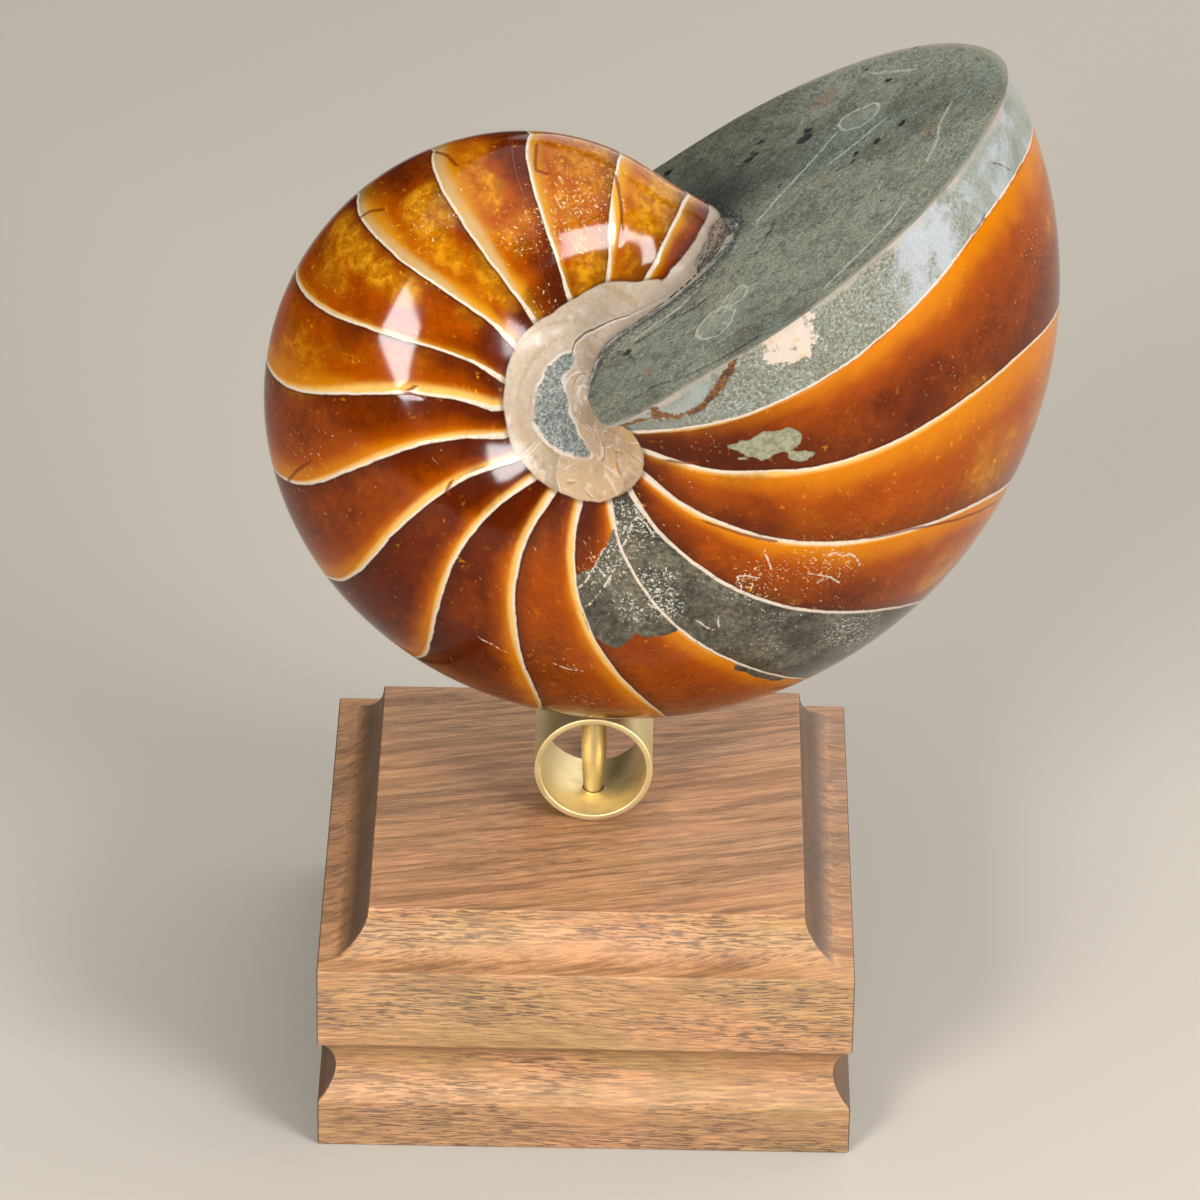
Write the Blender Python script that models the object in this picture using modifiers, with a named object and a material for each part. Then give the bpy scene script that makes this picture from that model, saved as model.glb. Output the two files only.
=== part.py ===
"""Polished fossil nautilus, cut square across its body chamber, on a brass tube and a moulded wooden plinth.

Units are metres, +Z is up and -Y is the front. The origin is the middle of the plinth's underside.
"""

import math

import bmesh
import bpy
from mathutils import Matrix, Vector

GAP = 0.0003  # clearance between pieces that touch

# Plinth: a square block, widest at its base
PLINTH_WIDTH = 0.100
PLINTH_HEIGHT = 0.047
TOP_WIDTH = 0.0816
COVE_FOOT = 0.0386  # height where the cove meets the upper band
GROOVE_TOP = 0.0224
GROOVE_FOOT = 0.0098
GROOVE_DEPTH = 0.0032
COVE_STEPS = 10
GROOVE_STEPS = 8
WOOD_EDGE = 0.0004  # rounding of the sharp wood edges

# Brass tube: lies along Y on the middle of the plinth
TUBE_RADIUS = 0.0112
TUBE_WALL = 0.0012
TUBE_FRONT = -0.0090
TUBE_BACK = 0.0114
TUBE_X = 0.0007
TUBE_EDGE = 0.0002
TUBE_STEPS = 56

# Brass pin: a turned spindle, upright through the tube
PIN_Y = 0.0012
PIN_END_RADIUS = 0.0018
PIN_BARREL_RADIUS = 0.00235
PIN_IN_WOOD = 0.010
PIN_IN_FOSSIL = 0.009
PIN_POINT = 0.0006  # chamfer at each end
PIN_STEPS = 24
HOLE_SPARE = 0.0008  # how far a drilled hole runs past the pin's end

# Nautilus: one whorl, coiled about an axis that points at the viewer, from the saw cut round to the saw cut
COIL_CENTRE = Vector((-0.0054, 0.0018, 0.1453))
COIL_YAW = math.radians(3.4)
COIL_TILT = math.radians(4.7)
CUT_ANGLE = math.radians(33.3)  # direction of the flat cut, above the horizontal
WHORL_RADIUS = 0.0975  # at the outer end of the whorl
GROWTH = 0.771  # how fast the radius falls, going back from the outer end, per turn
GROWTH_RISE = 0.343  # how much faster it falls further back
SLUMP = 0.0417  # share by which the coil is fuller below than above
TIP_SWELL = 0.154  # share by which the old whorl is fuller where the cut meets it
TIP_SWELL_ANGLE = 0.269
WHORL_HALF_WIDTH = 0.555  # share of the radius, at the outer end
WIDTH_FALL = 0.20  # share lost by one turn back
DRIFT = -0.0037  # how far the whorl lies behind the coil's plane one turn back
FLANK_SHARE = 0.378  # share of the radius where the flank starts to turn in
FLANK_SWELL = 0.06
VENTER_POWER = 0.555  # below 0.5 the back of the whorl is squarer, above it is more pointed
POLE_OFFSET = 0.0027  # centre of the umbilicus, along the cut from the coil's axis
POLE_REACH = 0.012
POLE_HEIGHT = 0.032  # half the thickness at the centre of the umbilicus
PLUG_RADIUS = 0.016  # reach of the umbilical plug
PLUG_STEEPNESS = 3.5
PLUG_STEEPNESS_GAIN = 4.5
WHORL_STEPS = 84
FLANK_STEPS = 7
VENTER_STEPS = 9


def clear_scene():
    for obj in list(bpy.data.objects):
        bpy.data.objects.remove(obj, do_unlink=True)


def new_collection(name):
    collection = bpy.data.collections.new(name)
    bpy.context.scene.collection.children.link(collection)
    return collection


def principled(name, colour, roughness, metallic=0.0):
    material = bpy.data.materials.new(name)
    material.use_nodes = True
    shader = material.node_tree.nodes["Principled BSDF"]
    shader.inputs["Base Color"].default_value = (*colour, 1.0)
    shader.inputs["Roughness"].default_value = roughness
    shader.inputs["Metallic"].default_value = metallic
    return material


def add_object(name, bm, collection, material=None):
    mesh = bpy.data.meshes.new(name)
    bm.to_mesh(mesh)
    bm.free()
    mesh.shade_smooth()
    mesh.set_sharp_from_angle(angle=math.radians(35))
    obj = bpy.data.objects.new(name, mesh)
    if material:
        mesh.materials.append(material)
    collection.objects.link(obj)
    return obj


def outline(points, closed):
    """A profile in the XZ plane, for a Screw modifier."""
    bm = bmesh.new()
    verts = [bm.verts.new((x, 0.0, z)) for x, z in points]
    for first, second in zip(verts, verts[1:]):
        bm.edges.new((first, second))
    if closed:
        bm.edges.new((verts[-1], verts[0]))
    return bm


def add_screw(obj, steps):
    screw = obj.modifiers.new("Turn", "SCREW")
    screw.axis = "Z"
    screw.angle = math.tau
    screw.steps = steps
    screw.render_steps = steps
    screw.use_merge_vertices = True
    screw.merge_threshold = 0.00001


def add_cut(obj, cutter):
    cut = obj.modifiers.new("Drill", "BOOLEAN")
    cut.operation = "DIFFERENCE"
    cut.solver = "EXACT"
    cut.object = cutter


def add_drill(name, radius, low, high, collection):
    """An upright cylinder on the pin's axis that cuts a hole for it."""
    bm = bmesh.new()
    place = Matrix.Translation((TUBE_X, PIN_Y, (low + high) / 2))
    bmesh.ops.create_cone(
        bm, cap_ends=True, segments=PIN_STEPS, radius1=radius, radius2=radius, depth=high - low, matrix=place
    )
    drill = add_object(name, bm, collection)
    drill.hide_render = True
    drill.display_type = "WIRE"
    return drill


def plinth_profile():
    """Half-widths and heights down the plinth's side, from the middle of the top to the middle of the base."""
    half = PLINTH_WIDTH / 2
    top = TOP_WIDTH / 2
    points = [(0.0, PLINTH_HEIGHT)]
    for step in range(COVE_STEPS + 1):
        angle = math.radians(90) * step / COVE_STEPS
        across = half - (half - top) * math.cos(angle)
        points.append((across, PLINTH_HEIGHT - (PLINTH_HEIGHT - COVE_FOOT) * math.sin(angle)))
    for step in range(GROOVE_STEPS + 1):
        turn = step / GROOVE_STEPS
        depth = GROOVE_DEPTH * math.sin(math.pi * turn) ** 0.7
        points.append((half - depth, GROOVE_TOP + (GROOVE_FOOT - GROOVE_TOP) * turn))
    points += [(half, 0.0), (0.0, 0.0)]
    return points


def add_plinth(collection, drill):
    corner = math.sqrt(2)  # a square turned from its diagonal
    profile = [(across * corner, height) for across, height in plinth_profile()]
    wood = principled("walnut", (0.27, 0.14, 0.07), 0.5)
    obj = add_object("plinth", outline(profile, closed=False), collection, wood)
    obj.rotation_euler.z = math.radians(45)
    add_screw(obj, 4)
    bevel = obj.modifiers.new("Edges", "BEVEL")
    bevel.width = WOOD_EDGE
    bevel.segments = 2
    bevel.limit_method = "ANGLE"
    bevel.angle_limit = math.radians(38)
    add_cut(obj, drill)


def add_tube(collection, drill):
    inner = TUBE_RADIUS - TUBE_WALL
    edge = TUBE_EDGE
    profile = [
        (inner, TUBE_BACK - edge),
        (inner + edge, TUBE_BACK),
        (TUBE_RADIUS - edge, TUBE_BACK),
        (TUBE_RADIUS, TUBE_BACK - edge),
        (TUBE_RADIUS, TUBE_FRONT + edge),
        (TUBE_RADIUS - edge, TUBE_FRONT),
        (inner + edge, TUBE_FRONT),
        (inner, TUBE_FRONT + edge),
    ]
    brass = principled("brushed_brass", (0.75, 0.60, 0.30), 0.32, metallic=1.0)
    obj = add_object("brass_tube", outline(profile, closed=True), collection, brass)
    obj.location = (TUBE_X, 0.0, PLINTH_HEIGHT + GAP + TUBE_RADIUS)
    obj.rotation_euler.x = math.radians(-90)
    add_screw(obj, TUBE_STEPS)
    add_cut(obj, drill)


def add_pin(collection, low, high):
    """The spindle swells to a barrel at the middle of the tube's bore."""
    middle = PLINTH_HEIGHT + GAP + TUBE_RADIUS
    reach = TUBE_RADIUS - TUBE_WALL
    swell = PIN_BARREL_RADIUS - PIN_END_RADIUS
    profile = [(0.0, high), (PIN_END_RADIUS - PIN_POINT, high), (PIN_END_RADIUS, high - PIN_POINT)]
    for step in range(9):
        along = 1 - step / 4
        radius = PIN_END_RADIUS + swell * math.cos(along * math.radians(90)) ** 0.8
        profile.append((radius, middle + along * reach))
    profile += [(PIN_END_RADIUS, low + PIN_POINT), (PIN_END_RADIUS - PIN_POINT, low), (0.0, low)]
    brass = principled("turned_brass", (0.78, 0.60, 0.28), 0.25, metallic=1.0)
    obj = add_object("brass_pin", outline(profile, closed=False), collection, brass)
    obj.location = (TUBE_X, PIN_Y, 0.0)
    add_screw(obj, PIN_STEPS)


def coil_axes():
    """The coiling axis, the level direction in the coil's plane and the one that points up in it."""
    axis = Vector(
        (
            math.sin(COIL_YAW) * math.cos(COIL_TILT),
            -math.cos(COIL_YAW) * math.cos(COIL_TILT),
            math.sin(COIL_TILT),
        )
    )
    level = Vector((math.cos(COIL_YAW), math.sin(COIL_YAW), 0.0))
    return axis, level, axis.cross(level)


def whorl_radius(turn):
    """Radius from the coil's axis to the back of the whorl; turn runs from 0, the old end, to 1 at the cut."""
    back = 1 - turn
    angle = CUT_ANGLE + math.tau * turn
    radius = WHORL_RADIUS * math.exp(-GROWTH * back - GROWTH_RISE * back**2 - SLUMP * math.sin(angle))
    return radius * (1 + TIP_SWELL * math.exp(-((math.tau * turn / TIP_SWELL_ANGLE) ** 2)))


def section_point(turn, across):
    """Distance from the coil's axis and offset from its plane, for across from -1 at the rear pole,
    through 0 at the venter, to 1 at the front pole."""
    side = 1 if across > 0 else -1
    back = 1 - turn
    radius = whorl_radius(turn)
    half_width = WHORL_HALF_WIDTH * (1 - WIDTH_FALL * back) * radius
    along = 1 - abs(across)
    flank_end = FLANK_STEPS / (FLANK_STEPS + VENTER_STEPS)
    if along < flank_end:
        share = FLANK_SHARE * (along / flank_end) ** 1.5
        height = half_width * (1 - FLANK_SWELL * (1 - share / FLANK_SHARE) ** 2)
    else:
        turn_in = math.sin(math.radians(90) * (along - flank_end) / (1 - flank_end))
        share = FLANK_SHARE + (1 - FLANK_SHARE) * turn_in
        height = half_width * max(1 - turn_in**2, 0.0) ** VENTER_POWER
    out = share * radius
    offset = side * height + DRIFT * back**2
    if out < PLUG_RADIUS:
        steepness = PLUG_STEEPNESS + PLUG_STEEPNESS_GAIN * turn
        offset += (side * POLE_HEIGHT - offset) * (1 - out / PLUG_RADIUS) ** steepness
    return out, offset


def add_nautilus(collection, drill):
    """A grid bent round into the whorl: one edge runs along the old section, the other along the new one."""
    axis, level, upward = coil_axes()
    cut = math.cos(CUT_ANGLE) * level + math.sin(CUT_ANGLE) * upward
    across = 2 * (FLANK_STEPS + VENTER_STEPS)
    bm = bmesh.new()
    bmesh.ops.create_grid(bm, x_segments=WHORL_STEPS, y_segments=across, size=0.5)
    for vert in bm.verts:
        turn = vert.co.x + 0.5
        out, offset = section_point(turn, 2 * vert.co.y)
        angle = CUT_ANGLE + math.tau * turn
        slide = POLE_OFFSET * max(1 - out / POLE_REACH, 0.0) ** 2
        vert.co = (
            COIL_CENTRE
            + out * (math.cos(angle) * level + math.sin(angle) * upward)
            + slide * cut
            + offset * axis
        )
    bmesh.ops.remove_doubles(bm, verts=bm.verts, dist=0.000001)
    rim = [edge for edge in bm.edges if edge.is_boundary]
    bmesh.ops.contextual_create(bm, geom=rim)
    bmesh.ops.recalc_face_normals(bm, faces=bm.faces)
    bmesh.ops.triangulate(bm, faces=bm.faces)
    stone = principled("amber_calcite", (0.55, 0.20, 0.03), 0.08)
    obj = add_object("nautilus", bm, collection, stone)
    add_cut(obj, drill)


def main():
    clear_scene()
    parts = new_collection("fossil_nautilus")
    cutters = new_collection("cutters")
    pin_low = PLINTH_HEIGHT - PIN_IN_WOOD
    pin_high = PLINTH_HEIGHT + 2 * GAP + 2 * TUBE_RADIUS + PIN_IN_FOSSIL
    hole = PIN_END_RADIUS + GAP
    drill = add_drill("pin_drill", hole, pin_low - HOLE_SPARE, pin_high + HOLE_SPARE, cutters)
    add_plinth(parts, drill)
    add_tube(parts, drill)
    add_pin(parts, pin_low, pin_high)
    add_nautilus(parts, drill)


main()
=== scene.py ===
import math

import bpy
import numpy as np
from mathutils import Matrix, Quaternion, Vector, noise


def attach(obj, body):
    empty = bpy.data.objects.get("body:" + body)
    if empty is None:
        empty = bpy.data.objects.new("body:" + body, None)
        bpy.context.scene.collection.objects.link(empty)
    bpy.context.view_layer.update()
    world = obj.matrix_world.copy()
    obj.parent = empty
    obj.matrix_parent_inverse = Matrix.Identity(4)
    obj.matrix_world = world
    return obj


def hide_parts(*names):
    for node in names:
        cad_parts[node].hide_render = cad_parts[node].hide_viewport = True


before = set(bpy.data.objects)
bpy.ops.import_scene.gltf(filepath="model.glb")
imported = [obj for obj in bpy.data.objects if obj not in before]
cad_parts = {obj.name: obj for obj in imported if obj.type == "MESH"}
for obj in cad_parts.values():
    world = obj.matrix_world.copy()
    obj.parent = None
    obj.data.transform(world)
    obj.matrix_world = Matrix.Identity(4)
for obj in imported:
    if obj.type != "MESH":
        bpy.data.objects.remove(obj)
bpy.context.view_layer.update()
print("frame loaded:", sorted(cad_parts))

bench = {}      # the material in hand: its node tree, its colours, and the noises that shake its edges


def display(*colour):               # a colour given as a screen shows it, in 255 steps
    levels = [value / 255 for value in colour]
    dark = [level / 12.92 for level in levels]
    light = [((level + 0.055) / 1.055) ** 2.4 for level in levels]
    return tuple(dark[i] if level <= 0.04045 else light[i] for i, level in enumerate(levels)) + (1,)


def tint(colour, light):            # the same, where a surface gives back only this share of it
    return tuple(level * light for level in display(*colour)[:3]) + (1,)


def startPiece():
    if bpy.context.object and bpy.context.object.mode != "OBJECT":
        bpy.ops.object.mode_set(mode="OBJECT")
    bpy.ops.object.select_all(action="DESELECT")


def pick(piece):
    startPiece()
    piece.select_set(True)
    bpy.context.view_layer.objects.active = piece


def editWhole(operator, **values):  # runs one operator on all of the active mesh
    bpy.ops.object.mode_set(mode="EDIT")
    bpy.ops.mesh.select_all(action="SELECT")
    operator(**values)
    bpy.ops.object.mode_set(mode="OBJECT")


def modify(piece, kind, **values):  # adds a modifier to the active piece and applies it
    made = piece.modifiers.new(kind, kind)
    for name, value in values.items():
        setattr(made, name, value)
    bpy.ops.object.modifier_apply(modifier=made.name)


def drawUp(levels, height, reach, centre):      # raises the outline through levels of height and reach
    bpy.ops.object.mode_set(mode="EDIT")
    for nextHeight, nextReach in levels:
        bpy.ops.mesh.extrude_region_move(TRANSFORM_OT_translate={"value": (0, 0, nextHeight - height)})
        if abs(nextReach - reach) > 1e-7:
            ratio = nextReach / reach
            bpy.ops.transform.resize(value=(ratio, ratio, 1), center_override=(*centre, nextHeight))
        height, reach = nextHeight, nextReach
    editWhole(bpy.ops.mesh.normals_make_consistent, inside=False)


def settlePiece(piece, materials, target, smoothAngle=None):
    pick(piece)
    bpy.ops.object.transform_apply(location=True, rotation=True, scale=True)
    if smoothAngle:
        bpy.ops.object.shade_smooth_by_angle(angle=math.radians(smoothAngle))
    for material in materials:
        piece.data.materials.append(material)
    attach(piece, "root")
    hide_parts(target)


def newMaterial(name, values):      # nodes made after this go into the new material
    material = bpy.data.materials.new(name)
    material.use_nodes = True
    bench["tree"] = material.node_tree
    bench["paint"] = {key: tint(colour, values["light"]) for key, colour in values["paint"].items()}
    return material, material.node_tree.nodes["Principled BSDF"]


def feed(target, sockets):          # gives each socket an output, a plain value or the paint of that name
    for socket, value in sockets.items():
        if isinstance(value, bpy.types.NodeSocket):
            bench["tree"].links.new(value, target.inputs[socket])
        else:
            target.inputs[socket].default_value = bench["paint"][value] if isinstance(value, str) else value


def node(kind, sockets=None, **settings):
    made = bench["tree"].nodes.new("ShaderNode" + kind)
    for name, value in settings.items():
        setattr(made, name, value)
    feed(made, sockets or {})
    return made.outputs


def maths(operation, *values):
    return node("Math", dict(enumerate(values)), operation=operation)[0]


def plus(first, second):
    return maths("ADD", first, second)


def minus(first, second):
    return maths("SUBTRACT", first, second)


def larger(first, second):
    return maths("MAXIMUM", first, second)


def product(first, *others):
    for other in others:
        first = maths("MULTIPLY", first, other)
    return first


def scaled(value, size, base):
    return maths("MULTIPLY_ADD", value, size, base)


def swing(noiseValue, size):        # noise about zero, size wide
    return scaled(noiseValue, size, -size / 2)


def shaken(value, size, by=None):
    return plus(value, swing(by or bench["middle"], size))


def ragged(value, size, fineSize):  # shaken broadly, then finely
    return shaken(shaken(value, size), fineSize, bench["fine"])


def ramp(value, start, end, low=0.0, high=1.0):     # goes smoothly from low at start to high at end
    limits = dict(enumerate((value, start, end, low, high)))
    return node("MapRange", limits, interpolation_type="SMOOTHSTEP")[0]


def near(value, middle, *limits):   # a ramp of how far the value is from the middle
    return ramp(maths("ABSOLUTE", minus(value, middle) if middle else value), *limits)


def mixed(share, first, second, mode="MIX"):        # sockets 6 and 7 and output 2 are the node's colours
    return node("Mix", {0: share, 6: first, 7: second}, data_type="RGBA", blend_type=mode)[2]


def coat(under, over, share, *limits):      # the share is plain, or a value with the limits of its ramp
    return mixed(ramp(share, *limits) if limits else share, under, over)


def shaded(colour, value, *limits):         # darkens and lightens by a ramp of the value
    return mixed(1.0, colour, ramp(value, *limits), "MULTIPLY")


def stretched(place, scale=(1, 1, 1), turn=(0, 0, 0)):      # turn in degrees
    angles = [math.radians(angle) for angle in turn]
    return node("Mapping", {"Vector": place, "Scale": scale, "Rotation": angles})[0]


def cloud(place, scale, detail=3.0, rough=0.5, twist=0.0):  # noise, drawn out where scale has three values
    if isinstance(scale, tuple):
        place, scale = stretched(place, scale), 1.0
    sockets = {"Vector": place, "Scale": scale, "Detail": detail, "Roughness": rough, "Distortion": twist}
    return node("TexNoise", sockets)["Fac"]


def split(vector):
    return node("SeparateXYZ", {0: vector})


def fromMesh(name):                 # the three values that the mesh carries under this name
    return split(node("Attribute", attribute_name=name)["Vector"])


def bumped(height, strength, distance):
    return node("Bump", {"Height": height, "Strength": strength, "Distance": distance})[0]


# the coil of the shell, the same growth as the solid has
shell = {
    "centre": (-0.0054, 0.0018, 0.1453),
    "yaw": 3.4, "tilt": 4.7,                    # degrees, of the coil's axis
    "cutAngle": 33.3,                           # degrees, where the outer whorl is sawn across
    "whorlRadius": 0.0975, "growth": 0.771, "growthRise": 0.343, "slump": 0.0417,
    "tipSwell": 0.154, "tipSwellAngle": 0.269,
    "halfWidth": 0.555, "widthFall": 0.20, "drift": -0.0037,
    "flankShare": 0.378, "flankEnd": 7 / 16, "flankSwell": 0.06, "venterPower": 0.555,
    "poleOffset": 0.0027, "poleReach": 0.012, "poleHeight": 0.032,
    "plugRadius": 0.016, "plugSteepness": 3.5, "plugSteepnessGain": 4.5,
    "stepsPerChamber": 22, "rowCount": 180, "faceSteps": 64, "faceStart": (0.006, 0.011),
    "mapChambers": 20,                          # chambers that the growth map has room for
    "rimSteps": (0.35, 0.12),                   # columns added before the rim, in steps from it
    "rimWear": 0.0002, "weld": 2e-6, "smoothAngle": 40,
    "plugLimit": 40, "seamLimit": 20, "patchLimit": 10,                 # mm, the furthest it is measured
    "seamEnd": 0.2, "rearSeamEnd": 0.12, "rearSeamShift": 0.02,         # turns, turns and share across
}
relief = {                                      # always inwards; depths and widths in mm
    "waveScale": 38, "coarseScale": 150, "gritScale": 420,              # fineness of its three noises
    "skin": 0.18, "wave": 0.05, "seam": 0.26, "seamWidth": 0.45,
    "patch": 0.32, "patchCoarse": 0.18, "patchSlope": 0.9,
    "lip": 0.25, "lipCoarse": 0.45, "lipGrit": 0.12,
    "lipEnd": 0.019, "lipRagged": 0.005, "lipSlope": 0.006,             # turns
    "lipAcross": 0.34, "lipSide": 0.08,                                 # shares across
    "crack": 0.14, "plugCrack": 0.10, "crackWidth": 0.4, "plugGrit": 0.05, "plugSlope": 2,
    "face": 0.06, "faceGrit": 0.03, "pit": 0.45, "pitSlope": 1.6, "pitCoarse": 0.25,
    "loop": 0.04, "score": 0.05, "scoreWidth": 0.5, "faceCrack": 0.22, "faceCrackWidth": 0.7,
    "end": 0.985, "fade": 0.03,                 # across, where it dies away before the poles
}
tau = 2 * math.pi
yaw, tilt, cutAngle = (math.radians(shell[name]) for name in ("yaw", "tilt", "cutAngle"))
centre = np.array(shell["centre"])
axis = np.array((math.sin(yaw) * math.cos(tilt), -math.cos(yaw) * math.cos(tilt), math.sin(tilt)))
level = np.array((math.cos(yaw), math.sin(yaw), 0.0))
upward = np.cross(axis, level)
cutOut = math.cos(cutAngle) * level + math.sin(cutAngle) * upward       # lies in the cut
cutNormal = -math.sin(cutAngle) * level + math.cos(cutAngle) * upward   # looks out of the cut

# each suture: turn at its saddle, how far across the saddle lies, turn at its lobe
sutures = [
    (0.033, 0.52, 0.0515), (0.078, 0.57, 0.1185), (0.148, 0.64, 0.190), (0.2465, 0.60, 0.256),
    (0.303, 0.52, 0.3125), (0.361, 0.50, 0.3695), (0.4098, 0.47, 0.4225), (0.4597, 0.49, 0.477),
    (0.5086, 0.51, 0.5337), (0.5546, 0.53, 0.5875), (0.6028, 0.56, 0.6455), (0.6549, 0.585, 0.698),
    (0.7086, 0.61, 0.7555), (0.7572, 0.64, 0.808), (0.8055, 0.66, 0.8610), (0.8672, 0.68, 0.9218),
    (0.9328, 0.71, 0.9806),
]
sutureBend = {"lobeAt": 0.17, "curl": 0.82, "curlReach": 0.19, "fall": 0.006, "early": 0.5, "late": 0.85}

# each chamber from the old end: how golden, how deep, how far it glows, then in mm half the width of its
# next suture and the width of the milky band before that suture
chamberTones = [
    (0.25, 0.75, 0.70, 0.20, 0.5), (0.75, 0.25, 0.60, 0.30, 0.7), (0.70, 0.35, 0.45, 0.28, 0.6),
    (0.42, 0.55, 0.85, 0.34, 2.0), (0.58, 0.36, 0.70, 0.32, 1.7), (0.26, 0.42, 0.30, 0.26, 0.6),
    (0.40, 0.46, 0.80, 0.36, 1.5), (0.15, 0.70, 0.75, 0.38, 0.9), (0.10, 0.72, 0.60, 0.38, 1.1),
    (0.05, 0.95, 0.50, 0.36, 0.8), (0.05, 0.90, 0.55, 0.38, 0.9), (0.15, 0.55, 0.65, 0.34, 0.9),
    (0.10, 0.55, 0.70, 0.26, 0.6), (0.10, 0.60, 0.10, 0.42, 0.0), (0.28, 0.56, 0.95, 0.54, 0.7),
    (0.34, 0.40, 1.10, 0.58, 0.9), (0.12, 0.74, 0.80, 0.30, 0.5), (0.10, 0.50, 0.10, 0.30, 0.0),
]
mudChamber = 13             # these count the chambers before them
lastAmber = 16
bandChamber = 17


def smooth(value):
    value = np.clip(value, 0, 1)
    return value * value * (3 - 2 * value)


def whorlRadius(turn):
    back = 1 - turn
    angle = cutAngle + tau * turn
    shrink = -shell["growth"] * back - shell["growthRise"] * back**2 - shell["slump"] * np.sin(angle)
    swell = shell["tipSwell"] * np.exp(-((tau * turn / shell["tipSwellAngle"])**2))
    return shell["whorlRadius"] * np.exp(shrink) * (1 + swell)


def whorlSection(turn, across):     # across runs from -1, the rear pole, over the venter to 1, the front pole
    side = np.where(across > 0, 1, -1)
    back = 1 - turn
    radius = whorlRadius(turn)
    halfWidth = shell["halfWidth"] * (1 - shell["widthFall"] * back) * radius
    along = 1 - np.abs(across)
    flank = along < shell["flankEnd"]
    flankShare = shell["flankShare"] * np.clip(along / shell["flankEnd"], 0, 1)**1.5
    flankHeight = halfWidth * (1 - shell["flankSwell"] * (1 - flankShare / shell["flankShare"])**2)
    turnIn = np.sin(math.pi / 2 * np.clip((along - shell["flankEnd"]) / (1 - shell["flankEnd"]), 0, 1))
    share = np.where(flank, flankShare, shell["flankShare"] + (1 - shell["flankShare"]) * turnIn)
    ventral = halfWidth * np.clip(1 - turnIn**2, 0, 1)**shell["venterPower"]
    out = share * radius
    offset = side * np.where(flank, flankHeight, ventral) + shell["drift"] * back**2
    steepness = shell["plugSteepness"] + shell["plugSteepnessGain"] * turn
    inPlug = np.clip(1 - out / shell["plugRadius"], 0, 1)**steepness
    return out, offset + (side * shell["poleHeight"] - offset) * inPlug


def shellPoint(turn, across):
    out, offset = whorlSection(turn, across)
    angle = cutAngle + tau * turn
    lean = shell["poleOffset"] * np.clip(1 - out / shell["poleReach"], 0, 1)**2
    arm = np.cos(angle)[..., None] * level + np.sin(angle)[..., None] * upward
    return centre + out[..., None] * arm + lean[..., None] * cutOut + offset[..., None] * axis


def sutureTurn(index, across):
    saddle, saddleAt, lobe = sutures[index]
    side = np.abs(across)
    lobeAt = sutureBend["lobeAt"]
    aged = min(max((saddle - 0.15) / 0.1, 0), 1)
    power = sutureBend["early"] + (sutureBend["late"] - sutureBend["early"]) * aged
    share = np.clip((saddleAt - side) / (saddleAt - lobeAt), 0, 1)
    forward = (lobe - saddle) * np.sin(math.pi / 2 * share**power)**2
    curl = sutureBend["curl"] * np.clip(side - saddleAt, 0, sutureBend["curlReach"])**2
    fall = sutureBend["fall"] * (1 - saddle) * np.clip(1 - side / lobeAt, 0, 1)**2
    return saddle + forward + curl - fall


def chamberTurn(chamber, across):   # turn at a whole or part chamber, so that columns follow the sutures
    lines = [sutureTurn(index, across) for index in range(len(sutures))]
    lines = np.array([np.zeros_like(across)] + lines + [np.ones_like(across)])
    lower = np.clip(np.floor(chamber).astype(int), 0, len(sutures))
    share = chamber - lower
    picked = np.arange(across.size)
    return (1 - share) * lines[lower, picked] + share * lines[lower + 1, picked]


# marks on the shell, as turns and shares across
wallEnd = 0.026         # turns of bare cream wall behind the lip, before the first amber
plugEdge = [
    (0, 0.40), (0.03, 0.41), (0.05, 0.45), (0.1, 0.505), (0.15, 0.58), (0.2, 0.628), (0.3, 0.655),
    (0.4, 0.688), (0.55, 0.695), (0.7, 0.708), (0.8, 0.745), (0.9, 0.80), (1, 0.85),
]
plugSeam = [
    (0, 0.24), (0.004, 0.35), (0.006, 0.45), (0.012, 0.50), (0.02, 0.55), (0.04, 0.61), (0.05, 0.64),
    (0.07, 0.68), (0.1, 0.71), (0.125, 0.737), (0.15, 0.757), (0.17, 0.783), (0.19, 0.808),
]
greyPatch = [
    (0.18, 0.80), (0.25, 0.795), (0.35, 0.797), (0.45, 0.787), (0.5, 0.775), (0.57, 0.79), (0.65, 0.815),
    (0.70, 0.83), (0.66, 0.86), (0.6, 0.88), (0.5, 0.888), (0.42, 0.88), (0.35, 0.86), (0.25, 0.85),
    (0.2, 0.838),
]
wedge = [
    (0.118, 0.155), (0.1185, 0.2), (0.118, 0.3), (0.1145, 0.37), (0.108, 0.43), (0.103, 0.42),
    (0.0995, 0.37), (0.104, 0.30), (0.110, 0.235),
]
mudPools = [
    [(0.655, 0.54), (0.675, 0.56), (0.692, 0.605), (0.712, 0.66), (0.712, 0.58), (0.728, 0.45),
     (0.705, 0.442), (0.697, 0.455), (0.685, 0.425), (0.676, 0.43), (0.668, 0.45)],
    [(0.7375, 0.33), (0.742, 0.32), (0.748, 0.25), (0.7555, 0.22), (0.749, 0.31), (0.741, 0.35)],
]
paleBlots = [
    [(0.885, 0.62), (0.889, 0.615), (0.890, 0.595), (0.895, 0.60), (0.897, 0.63), (0.904, 0.638),
     (0.908, 0.615), (0.911, 0.62), (0.9125, 0.594), (0.918, 0.575), (0.9185, 0.548), (0.912, 0.525),
     (0.903, 0.527), (0.899, 0.545), (0.892, 0.562), (0.889, 0.575), (0.893, 0.585), (0.887, 0.60)],
    [(0.890, 0.53), (0.894, 0.54), (0.8985, 0.535), (0.901, 0.52), (0.897, 0.51), (0.891, 0.514)],
]
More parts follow.
